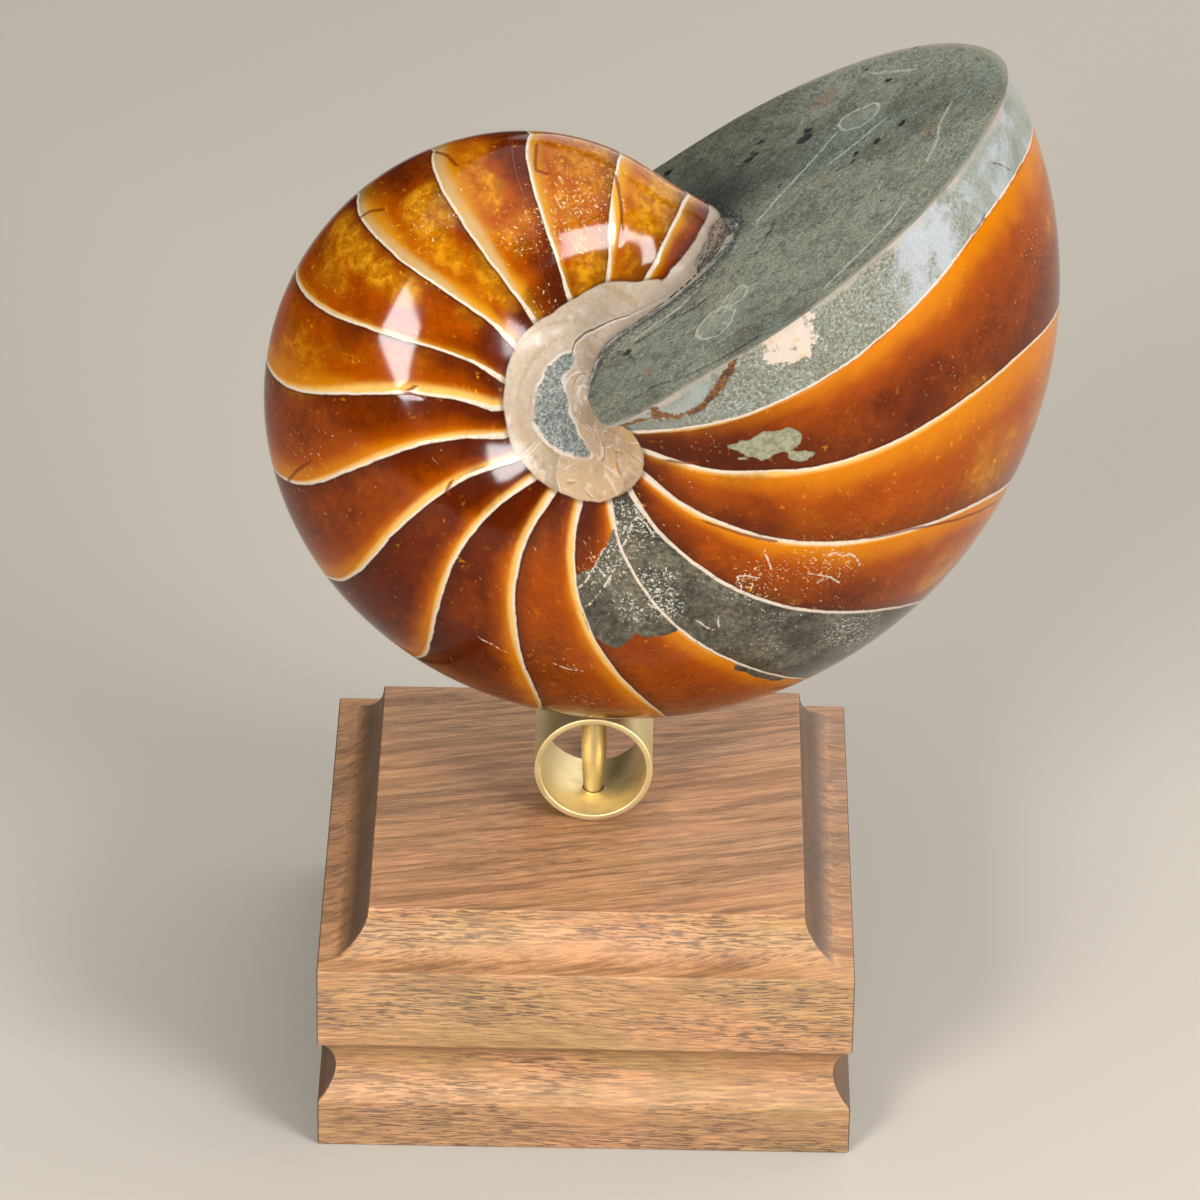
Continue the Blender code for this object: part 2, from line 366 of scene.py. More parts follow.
creamBlots = [
    [(0.9655, 0.508), (0.969, 0.523), (0.976, 0.537), (0.980, 0.548), (0.988, 0.555), (1.02, 0.55),
     (1.02, 0.485), (0.994, 0.49), (0.987, 0.506), (0.981, 0.498), (0.974, 0.506)],
]
paleFlakes = [
    [(0.957, 0.735), (0.955, 0.70), (0.962, 0.675), (0.972, 0.668), (0.982, 0.645), (1.02, 0.63),
     (1.02, 0.78), (0.982, 0.79), (0.964, 0.765)],
]
darkLines = [
    [(0.463, 0.245), (0.469, 0.20), (0.477, 0.147)],
    [(0.404, 0.475), (0.4085, 0.46), (0.413, 0.487)],
    [(0.298, 0.147), (0.306, 0.12), (0.3125, 0.115)],
    [(0.2408, 0.124), (0.244, 0.07), (0.251, 0.015)],
    [(0.176, 0.207), (0.1845, 0.197), (0.1835, 0.15), (0.1810, 0.08)],
    [(0.0985, 0.37), (0.104, 0.30), (0.110, 0.235), (0.1178, 0.155)],
    [(0.8035, 0.597), (0.8116, 0.55), (0.8175, 0.52), (0.821, 0.50)],
    [(0.8417, 0.396), (0.85, 0.337), (0.853, 0.278), (0.855, 0.195), (0.8555, 0.11)],
    [(0.8626, 0.728), (0.8665, 0.70), (0.8718, 0.678)],
    [(0.5045, 0.53), (0.5095, 0.515), (0.513, 0.518)],
    [(0.9975, 0.251), (0.9925, 0.237), (0.987, 0.2275), (0.983, 0.2255), (0.981, 0.241), (0.979, 0.245),
     (0.978, 0.27)],
    [(0.9925, 0.1985), (0.9875, 0.177), (0.9825, 0.162)],
]
plugCracks = [
    [(0.845, 0.88), (0.82, 0.86), (0.795, 0.82), (0.775, 0.79), (0.763, 0.755)],
    [(0.70, 0.78), (0.72, 0.80), (0.735, 0.815), (0.752, 0.825), (0.77, 0.85), (0.79, 0.90)],
    [(0.60, 0.74), (0.64, 0.735), (0.66, 0.745), (0.685, 0.715)],
    [(0.795, 0.82), (0.815, 0.835), (0.825, 0.82), (0.845, 0.83)],
    [(0.92, 0.88), (0.90, 0.85), (0.865, 0.83), (0.845, 0.83), (0.83, 0.77)],
    [(0.05, 0.86), (0.12, 0.88), (0.20, 0.885), (0.30, 0.90), (0.45, 0.915), (0.60, 0.91)],
]
rustLines = [
    [(0.982, 0.83), (0.9787, 0.807), (0.9733, 0.755), (0.9646, 0.7315), (0.9587, 0.708), (0.9608, 0.6775),
     (0.9679, 0.658), (0.9721, 0.6446), (0.9821, 0.635), (0.9875, 0.6215), (0.9908, 0.610), (1.0, 0.594)],
    [(0.9975, 0.7605), (0.9808, 0.753), (0.9683, 0.749)],
]
paleLines = [
    [(0.660, 0.525), (0.667, 0.538), (0.675, 0.56), (0.690, 0.605)],
    [(0.667, 0.497), (0.677, 0.52), (0.697, 0.565)],
    [(0.711, 0.606), (0.7235, 0.632), (0.737, 0.658), (0.746, 0.664), (0.7505, 0.642), (0.749, 0.612)],
    [(0.7395, 0.455), (0.7425, 0.433), (0.7475, 0.431), (0.750, 0.445)],
    [(0.7775, 0.478), (0.782, 0.497), (0.787, 0.491), (0.790, 0.478)],
    [(0.8025, 0.478), (0.806, 0.488), (0.810, 0.50)],
    [(0.8265, 0.43), (0.8292, 0.423), (0.8282, 0.41), (0.8312, 0.402), (0.8297, 0.39), (0.8265, 0.378)],
    [(0.811, 0.43), (0.814, 0.40), (0.812, 0.375)],
    [(0.603, 0.357), (0.61, 0.359), (0.618, 0.356)],
    [(0.648, 0.367), (0.655, 0.363), (0.6615, 0.365)],
]

# clouds of gold and of deep brown in the amber, and swarms of white crumbs: each has its turn, its place
# across, its reach in mm and its strength
goldClouds = [
    (0.078, 0.15, 6, 1.0), (0.070, 0.05, 6, 0.6), (0.085, 0.25, 4, 0.8), (0.112, 0.20, 3, 0.6),
    (0.115, 0.57, 6, 0.9), (0.130, 0.50, 5, 0.6), (0.210, 0.39, 4, 0.7), (0.236, 0.22, 6, 0.9),
    (0.236, 0.42, 5, 0.8), (0.270, 0.24, 5, 0.8), (0.290, 0.35, 5, 0.6), (0.323, 0.08, 3, 0.8),
    (0.326, 0.15, 3, 1.0), (0.328, 0.22, 3, 1.0), (0.328, 0.29, 3, 1.0), (0.327, 0.36, 3, 0.9),
    (0.350, 0.18, 5, 0.3), (0.410, 0.20, 6, 0.7), (0.845, 0.10, 8, 0.8), (0.830, 0.20, 7, 0.6),
    (0.900, 0.10, 9, 0.9), (0.880, 0.22, 8, 0.7), (0.910, 0.30, 6, 0.6), (0.960, 0.08, 7, 0.5),
    (0.235, 0.10, 5, 0.8), (0.238, 0.52, 4, 0.7), (0.300, 0.10, 4, 0.5), (0.305, 0.50, 3, 0.5),
]
deepClouds = [
    (0.034, 0.12, 4, 1.0), (0.095, 0.15, 3, 0.5), (0.200, 0.58, 8, 0.9), (0.205, 0.45, 6, 0.8),
    (0.200, 0.15, 6, 0.7), (0.190, 0.05, 5, 0.6), (0.280, 0.02, 8, 0.9), (0.260, 0.30, 5, 0.4),
    (0.300, 0.60, 6, 0.3), (0.345, 0.62, 6, 0.5), (0.370, 0.30, 4, 0.5), (0.380, 0.56, 6, 0.5),
    (0.440, 0.45, 8, 0.5), (0.490, 0.62, 6, 0.7), (0.530, 0.57, 6, 0.9), (0.540, 0.30, 7, 0.6),
    (0.585, 0.58, 5, 0.8), (0.600, 0.30, 7, 0.5), (0.650, 0.62, 6, 0.6), (0.890, 0.60, 9, 0.8),
    (0.880, 0.74, 6, 0.9), (0.920, 0.65, 6, 0.7), (0.800, 0.64, 4, 0.5), (0.820, 0.70, 5, 0.4),
    (0.835, 0.55, 7, 0.7), (0.805, 0.35, 7, 0.6), (0.870, 0.45, 6, 0.5), (0.930, 0.40, 8, 0.6),
    (0.770, 0.60, 5, 0.6), (0.350, 0.40, 4, 0.4),
]
crumbSwarms = [
    (0.150, 0.35, 9, 1.0), (0.135, 0.25, 7, 0.9), (0.165, 0.25, 8, 0.8), (0.130, 0.10, 6, 0.7),
    (0.150, 0.05, 6, 0.6), (0.210, 0.38, 6, 0.8), (0.235, 0.40, 4, 0.5), (0.275, 0.25, 6, 0.7),
    (0.290, 0.20, 4, 0.5), (0.210, 0.60, 6, 0.7), (0.460, 0.25, 7, 0.6), (0.410, 0.10, 4, 0.4),
    (0.345, 0.25, 5, 0.35), (0.665, 0.28, 4, 0.8), (0.655, 0.365, 3, 0.7), (0.790, 0.47, 6, 1.0),
    (0.820, 0.42, 7, 1.0), (0.800, 0.40, 6, 0.6), (0.850, 0.67, 4, 0.5), (0.915, 0.68, 4, 0.6),
    (0.955, 0.17, 5, 0.6), (0.930, 0.34, 5, 0.5), (0.600, 0.55, 5, 0.4), (0.870, 0.40, 8, 0.3),
    (0.735, 0.66, 5, 1.0), (0.725, 0.62, 4, 0.8), (0.728, 0.53, 4, 1.0), (0.724, 0.50, 4, 1.0),
    (0.695, 0.58, 5, 0.9), (0.685, 0.56, 4, 0.9), (0.700, 0.50, 4, 0.8), (0.765, 0.62, 3, 0.4),
    (0.775, 0.40, 5, 0.5), (0.790, 0.28, 6, 0.9), (0.785, 0.22, 5, 0.9), (0.800, 0.33, 4, 0.6),
    (0.760, 0.35, 4, 0.4),
]

# how far marks of the rear flank lie from their fellows on the front one, in turns and across
rearShifts = {
    "blots": (-0.12, -0.06), "flakes": (0, -0.1), "plugCracks": (-0.07, 0), "darkLines": (0.052, 0),
    "rustLines": (0, -0.1), "greyPatch": (0.1, -0.01), "clouds": (0.011, 0),
}
rearDarkLines = 4           # only the first of them come again on the rear flank
rearPatchShrink = 0.8       # along the turn

# marks on the cut, in millimetres out and along the axis, and pits and stains with their size
faceLoops = [
    [(27, 37), (30, 39.3), (33, 37), (34, 33), (32, 28), (29, 28), (26.3, 31), (25.7, 34)],
    [(33, 30), (36, 30), (37.3, 27), (36.3, 24), (33, 25), (30.5, 28)],
    [(61, -20), (62, -22), (64.5, -22), (69, -20), (70, -17), (68, -14), (65, -13.5), (62, -16)],
]
faceLines = [
    [(14, 19), (19, 17.6), (24, 17), (28, 12.5)],
    [(41.5, 0.5), (45, -3), (50, -7.5), (55, -12), (60, -17)],
    [(70, -34), (75, -28), (77.5, -24.5)],
    [(52, 46), (60, 40.5), (66, 36), (70, 31)],
    [(76, 19), (79, 13), (80, 7), (83, 1)],
    [(58, -5.5), (64, -7.5), (69.5, -10)],
    [(83, 47), (84, 42), (83, 39)],
]
faceCracks = [
    [(11, 43.5), (16, 43.5), (22, 47), (30, 49), (38, 49.5)],
    [(10, 19.5), (12, 24), (12.5, 27)],
    [(14, 20.5), (20, 20.2), (24, 17.5), (27, 13.5), (30, 10.5)],
    [(22, 20), (26, 21), (30, 19.5)],
    [(29, 12.5), (33, 8), (36, 2.5), (38, -4), (38.5, -10)],
    [(40, 14), (43, 8), (45, 5)],
]
facePits = [
    (54, -24, 2.4), (55, -26.5, 1.6), (42, -30, 1.3), (40.5, -29, 0.9), (43.5, -31, 0.8), (45, -35, 1.4),
    (47, -26, 1.1), (62, -0.5, 1.0), (63, -3, 1.2), (67.5, -2.7, 1.3), (73, -4, 1.4), (72.5, -27, 1.0),
    (69, -38, 0.9), (11.5, 22, 1.3), (25, -47, 1.4), (43, 8, 0.9), (59, -1, 0.7),
]
faceStains = [
    (56, 1.5, 2.2), (59, 13, 1.6), (78.5, 6, 3.2), (77, 9, 2.0), (15, 36, 3.0), (59, -36, 6.0),
]


def lineGap(place, line, closed=False):     # signed and plain distance from a bent line
    corners = line + line[:1] if closed else line
    plain = np.full(len(place), 1e3)
    signed = np.full(len(place), 1e3)
    inside = np.zeros(len(place), bool)
    for first, last in zip(corners[:-1], corners[1:]):
        first, last = np.array(first, float), np.array(last, float)
        along = last - first
        away = place - first
        share = np.clip(away @ along / (along @ along), 0, 1)
        gap = np.linalg.norm(away - share[:, None] * along, axis=1)
        side = np.where(along[0] * away[:, 1] - along[1] * away[:, 0] > 0, 1, -1)
        nearer = gap < plain
        plain[nearer] = gap[nearer]
        signed[nearer] = (gap * side)[nearer]
        if closed:
            spans = (first[1] > place[:, 1]) != (last[1] > place[:, 1])
            rise = along[1] if along[1] else 1e-9
            inside ^= spans & (place[:, 0] < along[0] * (place[:, 1] - first[1]) / rise + first[0])
    if closed:
        signed = np.where(inside, -plain, plain)
    return signed, plain


def onShell(turn, across, line, closed=False):      # the same, for a line given on the shell, in mm
    middle = np.mean(line, axis=0)
    out = whorlSection(middle[:1], middle[1:])[0][0]
    step = shellPoint(np.array([middle[0]] * 2), middle[1] + np.array((-0.01, 0.01)))
    scale = np.array((tau * out * 1000, np.linalg.norm(step[1] - step[0]) * 1000 / 0.02))
    place = np.stack((turn, across), 1) * scale
    return lineGap(place, [tuple(np.array(corner) * scale) for corner in line], closed)


def nearest(pairs):     # keeps, for each point, the nearest of several lines
    signed, plain = pairs[0]
    for nextSigned, nextPlain in pairs[1:]:
        nearer = nextPlain < plain
        signed = np.where(nearer, nextSigned, signed)
        plain = np.where(nearer, nextPlain, plain)
    return signed, plain


def swarm(points, blobs):       # strongest of many soft round clouds, on both flanks
    total = np.zeros(len(points))
    for turn, across, reach, strength in blobs:
        for side, (turnShift, acrossShift) in ((1, (0, 0)), (-1, rearShifts["clouds"])):
            middle = shellPoint(np.array([turn + turnShift]), np.array([side * (across + acrossShift)]))
            away = np.linalg.norm(points - middle, axis=1) * 1000
            total = np.maximum(total, strength * smooth(1.5 - away / reach))
    return total


def spots(place, marks):        # strongest of many round marks on the cut
    total = np.zeros(len(place))
    for out, along, size in marks:
        away = np.hypot(place[:, 0] - out, place[:, 1] - along)
        total = np.maximum(total, 1 - away / size)
    return total


def roughness(points, scale, octaves=3):
    return np.array([noise.fractal(Vector(point) * scale, 1.0, 2.0, octaves) for point in points])


def band(gap, width):           # a soft stroke about a line
    return np.exp(-(gap / width)**2)


def enclosed(mesh):             # volume inside a closed mesh, below zero where its faces point inwards
    corners = np.empty(len(mesh.vertices) * 3)
    mesh.vertices.foreach_get("co", corners)
    mesh.calc_loop_triangles()
    faces = np.empty(len(mesh.loop_triangles) * 3, int)
    mesh.loop_triangles.foreach_get("vertices", faces)
    first, second, third = corners.reshape(-1, 3)[faces.reshape(-1, 3)].transpose(1, 0, 2)
    return np.sum(first * np.cross(second, third)) / 6


def wearRim(grid, rimAt, rows):     # the skin ends a little below the cut, and the face leans down to it
    height = (grid - centre) @ cutNormal
    wear = shell["rimWear"] * smooth((relief["end"] - np.abs(rows)) / relief["fade"])
    for line in np.flatnonzero(wear > 1e-6):
        low = rimAt
        while height[low, line] > -wear[line]:
            low -= 1
        if low < rimAt:
            first, second = grid[low, line], grid[low + 1, line]
            reach = (-wear[line] - height[low, line]) / (height[low + 1, line] - height[low, line])
            steps = np.arange(1, rimAt - low + 1) / (rimAt - low)
            grid[low + 1:rimAt + 1, line] = first + steps[:, None] * reach * (second - first)


def closeShell(piece):
    pick(piece)
    editWhole(bpy.ops.mesh.remove_doubles, threshold=shell["weld"])
    editWhole(bpy.ops.mesh.normals_make_consistent, inside=False)
    if enclosed(piece.data) < 0:    # the operator can take a deep hollow for the outside
        editWhole(bpy.ops.mesh.flip_normals)
    print("shell encloses", round(enclosed(piece.data) * 1e6, 1), "millilitres")


def makeShell():
    chamberCount = len(sutures) + 1
    perChamber = shell["stepsPerChamber"]
    shellStops = list(np.linspace(0, chamberCount, chamberCount * perChamber + 1))
    shellStops = sorted(shellStops + [chamberCount - step / perChamber for step in shell["rimSteps"]])
    faceStops = list(shell["faceStart"]) + list(np.linspace(0, 1, shell["faceSteps"] + 1)[1:])
    stops = np.array(shellStops + [chamberCount + share for share in faceStops])
    rows = np.linspace(-1, 1, shell["rowCount"] + 1)
    rimAt = len(shellStops) - 1
    startPiece()
    bpy.ops.mesh.primitive_grid_add(x_subdivisions=len(stops) - 1, y_subdivisions=len(rows) - 1, size=1)
    piece = bpy.context.object
    piece.name = "fossilShell"
    mesh = piece.data
    flat = np.empty(len(mesh.vertices) * 3)
    mesh.vertices.foreach_get("co", flat)
    flat = flat.reshape(-1, 3)
    column = np.rint((flat[:, 0] + 0.5) * (len(stops) - 1)).astype(int)
    row = np.rint((flat[:, 1] + 0.5) * (len(rows) - 1)).astype(int)
    stop = stops[column]
    across = rows[row]
    onFace = stop > chamberCount + 1e-9
    onSkin = ~onFace
    share = np.clip(stop - chamberCount, 0, 1)
    turn = chamberTurn(np.minimum(stop, chamberCount), across)
    skin = shellPoint(turn, across)
    start = shellPoint(np.zeros_like(across), across)
    end = shellPoint(np.ones_like(across), across)
    points = np.where(onFace[:, None], (1 - share)[:, None] * end + share[:, None] * start, skin)

    # outward normals from the grid's own directions
    order = np.lexsort((row, column))
    grid = points[order].reshape(len(stops), len(rows), 3)
    alongTurn = np.gradient(grid, axis=0)
    alongRow = np.gradient(grid, axis=1)
    normal = np.cross(alongRow, alongTurn)
    area = np.linalg.norm(normal, axis=-1, keepdims=True)
    normal /= np.maximum(area, 1e-12)
    normal[rimAt] = normal[rimAt - 1]           # the rim moves as the skin beside it does
    width = area[..., 0] / np.maximum(np.linalg.norm(alongRow, axis=-1), 1e-9)
    spread = np.zeros(len(points))
    spread[order] = (width / np.gradient(stops)[:, None] * 1000).ravel()
    normals = np.zeros_like(points)
    normals[order] = normal.reshape(-1, 3)
    fromAxis = points - centre
    if np.median(np.sum(normals * fromAxis, axis=1)[onSkin]) < 0:
        normals = -normals
    normals[onFace] = cutNormal

    def gaps(lines, closed=False, rear=(), shift=(0, 0)):   # the lines of rear come again on the rear flank
        pairs = [onShell(turn, across, line, closed) for line in lines]
        pairs += [onShell(turn, -across, np.array(line) + shift, closed) for line in rear]
        return nearest(pairs)

    # distances in millimetres that the finishes and the relief use
    beside = [shellPoint(turn, across + step) for step in (-0.004, 0.004)]
    rowScale = np.linalg.norm(beside[0] - beside[1], axis=1) / 0.008 * 1000
    edge = np.interp(turn, *zip(*plugEdge))
    wallGap = (turn - wallEnd) * tau * whorlSection(turn, across)[0] * 1000
    plugGap = np.minimum((edge - np.abs(across)) * rowScale, wallGap)
    plugGap = np.clip(plugGap, -shell["plugLimit"], shell["plugLimit"])
    farSeam = shell["seamLimit"]
    seam = np.interp(turn, *zip(*plugSeam))
    frontSeam = np.where(turn < shell["seamEnd"], (across - seam) * rowScale, farSeam)
    rearSeam = (np.abs(across) - seam - shell["rearSeamShift"]) * rowScale
    rearSeam = np.where(turn < shell["rearSeamEnd"], rearSeam, farSeam)
    seamGap = np.clip(np.where(across > 0, frontSeam, rearSeam), -farSeam, farSeam)
    rearPatch = np.array(greyPatch) * (rearPatchShrink, 1) + rearShifts["greyPatch"]
    rearGap = onShell(turn, -across, rearPatch, True)[0]
    patchGap = np.minimum(onShell(turn, across, greyPatch, True)[0], rearGap)
    patchGap = np.clip(patchGap, -shell["patchLimit"], shell["patchLimit"])
    mudGap = nearest([onShell(turn, np.abs(across), pool, True) for pool in mudPools])
    blotGap = gaps(paleBlots, True, paleBlots[:1], rearShifts["blots"])
    creamGap = gaps(creamBlots, True)
    flakeGap = gaps(paleFlakes, True, paleFlakes[:1], rearShifts["flakes"])
    wedgeGap = gaps([wedge], True, [wedge])
    crackGap = gaps(plugCracks, False, plugCracks, rearShifts["plugCracks"])
    darkGap = gaps(darkLines, False, darkLines[:rearDarkLines], rearShifts["darkLines"])
    rustGap = gaps(rustLines, False, rustLines[:1], rearShifts["rustLines"])
    paleGap = gaps(paleLines)
    out = fromAxis @ cutOut
    offAxis = fromAxis @ axis
    onCut = np.stack((out, offAxis), 1) * 1000
    wallCracks = nearest([lineGap(onCut, line) for line in faceCracks])
    loopGap = nearest([lineGap(onCut, loop, True) for loop in faceLoops])
    scoreGap = nearest([lineGap(onCut, line) for line in faceLines])
    pit = spots(onCut, facePits)
    stain = spots(onCut, faceStains)
    tones = np.array(chamberTones)[np.floor(np.clip(stop, 0, chamberCount - 1e-6)).astype(int)]
    toRim = np.linalg.norm(points - end, axis=1) * 1000
    toContact = np.linalg.norm(points - start, axis=1) * 1000
    clouds = [swarm(points, blobs) for blobs in (goldClouds, deepClouds, crumbSwarms)]

    # relief, in millimetres
    wave = roughness(points, relief["waveScale"], 2)
    grit = roughness(points, relief["gritScale"])
    coarse = roughness(points, relief["coarseScale"])
    depth = relief["skin"] + relief["wave"] * wave
    depth += relief["seam"] * band(seamGap, relief["seamWidth"]) * onSkin
    sunk = relief["patch"] + relief["patchCoarse"] * coarse
    depth += sunk * smooth(-patchGap / relief["patchSlope"]) * onSkin
    lip = smooth((relief["lipEnd"] + relief["lipRagged"] * coarse - turn) / relief["lipSlope"])
    lip = lip * smooth((relief["lipAcross"] - np.abs(across)) / relief["lipSide"]) * onSkin
    depth += lip * (relief["lip"] + relief["lipCoarse"] * np.abs(coarse) + relief["lipGrit"] * grit)
    depth += relief["crack"] * band(darkGap[1], relief["crackWidth"]) * onSkin
    depth += relief["plugCrack"] * band(crackGap[1], relief["crackWidth"]) * onSkin
    depth += relief["plugGrit"] * grit * smooth(-plugGap / relief["plugSlope"]) * onSkin
    pitted = relief["pit"] * smooth(pit * relief["pitSlope"] + relief["pitCoarse"] * coarse)
    faceDepth = relief["face"] + relief["wave"] * wave + relief["faceGrit"] * grit + pitted
    depth = np.where(onFace, faceDepth, depth)
    loops, scores = (band(gap, relief["scoreWidth"]) for gap in (loopGap[0], scoreGap[1]))
    depth -= np.where(onFace, relief["loop"] * loops - relief["score"] * scores, 0)
    faceCracked = band(wallCracks[1], relief["faceCrackWidth"])
    depth += onFace * relief["faceCrack"] * faceCracked * (1 + coarse)
    depth *= smooth((relief["end"] - np.abs(across)) / relief["fade"])
    points = points - normals * np.maximum(depth, 0)[:, None] / 1000
    grid = points[order].reshape(len(stops), len(rows), 3)
    wearRim(grid, rimAt, rows)
    points[order] = grid.reshape(-1, 3)
    rim = np.abs(stop - chamberCount) < 1e-9
    rimShift = np.zeros((len(rows), 3))
    rimShift[row[rim]] = (points - skin)[rim]
    rimShift -= (rimShift @ cutNormal)[:, None] * cutNormal
    points[onFace] += ((1 - share)[:, None] * rimShift[row])[onFace]
    points[order[-len(rows):]] = points[order[:len(rows)]]      # the cut ends on the old whorl, with no gap

    mesh.vertices.foreach_set("co", points.ravel())
    carried = {
        "zones": (plugGap, mudGap[0], patchGap), "blots": (blotGap[0], creamGap[0], seamGap),
        "darkMarks": (*darkGap, spread), "rustMarks": (*rustGap, lip), "paleMarks": (*paleGap, turn),
        "faceMarks": (loopGap[0], *scoreGap), "clouds": clouds, "cracks": (*crackGap, wedgeGap[0]),
        "facePlace": (out, offAxis, np.where(onFace, pit, tones[:, 3])),
        "tones": (tones[:, 0], tones[:, 1], np.where(onFace, stain, tones[:, 2])),
        "milk": (tones[:, 4],) * 3,
        "faceEdges": (toRim, toContact, np.where(onFace, wallCracks[1], flakeGap[0])),
    }
    for name, columns in carried.items():
        carrier = mesh.attributes.new(name, "FLOAT_VECTOR", "POINT")
        carrier.data.foreach_set("vector", np.stack(columns, 1).astype(np.float32).ravel())
    growthMap = mesh.uv_layers[0]
    growthMap.name = "growth"
    corner = np.empty(len(mesh.loops), int)
    mesh.loops.foreach_get("vertex_index", corner)
    mapPlace = np.stack((stop[corner] / shell["mapChambers"], (across[corner] + 1) / 2), 1)
    growthMap.data.foreach_set("uv", mapPlace.astype(np.float32).ravel())
    faceCorner = np.empty(len(mesh.polygons) * 4, int)
    mesh.polygons.foreach_get("vertices", faceCorner)
    sawn = column[faceCorner.reshape(-1, 4)].min(1) >= rimAt
    mesh.polygons.foreach_set("material_index", sawn.astype(np.int32))
    mesh.update()
    closeShell(piece)
    return piece


calcite = {
    "light": 0.46,                  # how much of each display colour the surface gives back
    "paint": {
        "deep": (98, 30, 0), "amber": (176, 77, 0), "gold": (192, 118, 8), "cloudGold": (222, 160, 34),
        "goldBrown": (124, 58, 6), "glow": (226, 134, 4), "glowCore": (250, 204, 112),
        "milk": (198, 168, 118), "dusk": (66, 26, 14), "dark": (74, 24, 2), "speck": (236, 152, 30),
        "line": (240, 220, 196),
        "crumb": (248, 218, 168), "dust": (226, 228, 214), "mud": (114, 107, 90), "mudDark": (66, 62, 50),
        "blot": (166, 164, 136), "blotDark": (134, 130, 102), "band": (162, 168, 160),
        "bandOlive": (140, 143, 130), "bandGrain": (114, 106, 80), "bandWornHighlight": (196, 200, 204),
        "chalk": (226, 208, 190), "cream": (208, 187, 163), "tan": (191, 157, 119), "white": (240, 230, 218),
        "plugCrack": (180, 128, 84), "plugWarm": (224, 178, 118), "patch": (164, 168, 160),
        "patchDark": (112, 118, 112), "seam": (84, 72, 62), "wall": (196, 178, 160), "lip": (178, 160, 142),
        "lipDark": (84, 62, 48), "crack": (124, 50, 6), "rust": (132, 80, 28), "rustDark": (80, 44, 16),
    },
    "duskReach": 4.0, "duskFar": 11.0, "glowShare": 0.46, "lightest": 1.20, "darkest": 0.76,
    "roughPolish": 0.09, "roughPlug": 0.24, "refraction": 1.5, "specular": 0.17,
    "subsurface": 0.12, "subsurfaceRadius": (1.0, 0.42, 0.12), "subsurfaceScale": 0.0014,
    "bump": 0.35, "bumpDistance": 0.00012,
    "noise": {                      # fineness of each noise
        "broad": 60, "middle": 210, "fine": 900, "clots": 430, "grain": 1700, "speck": 640, "mud": 130,
        "crumbs": 1500, "hatches": (2400, 900, 500), "plugBands": (4, 70, 1), "plates": 150,
        "lip": (300, 22, 1),
    },
}


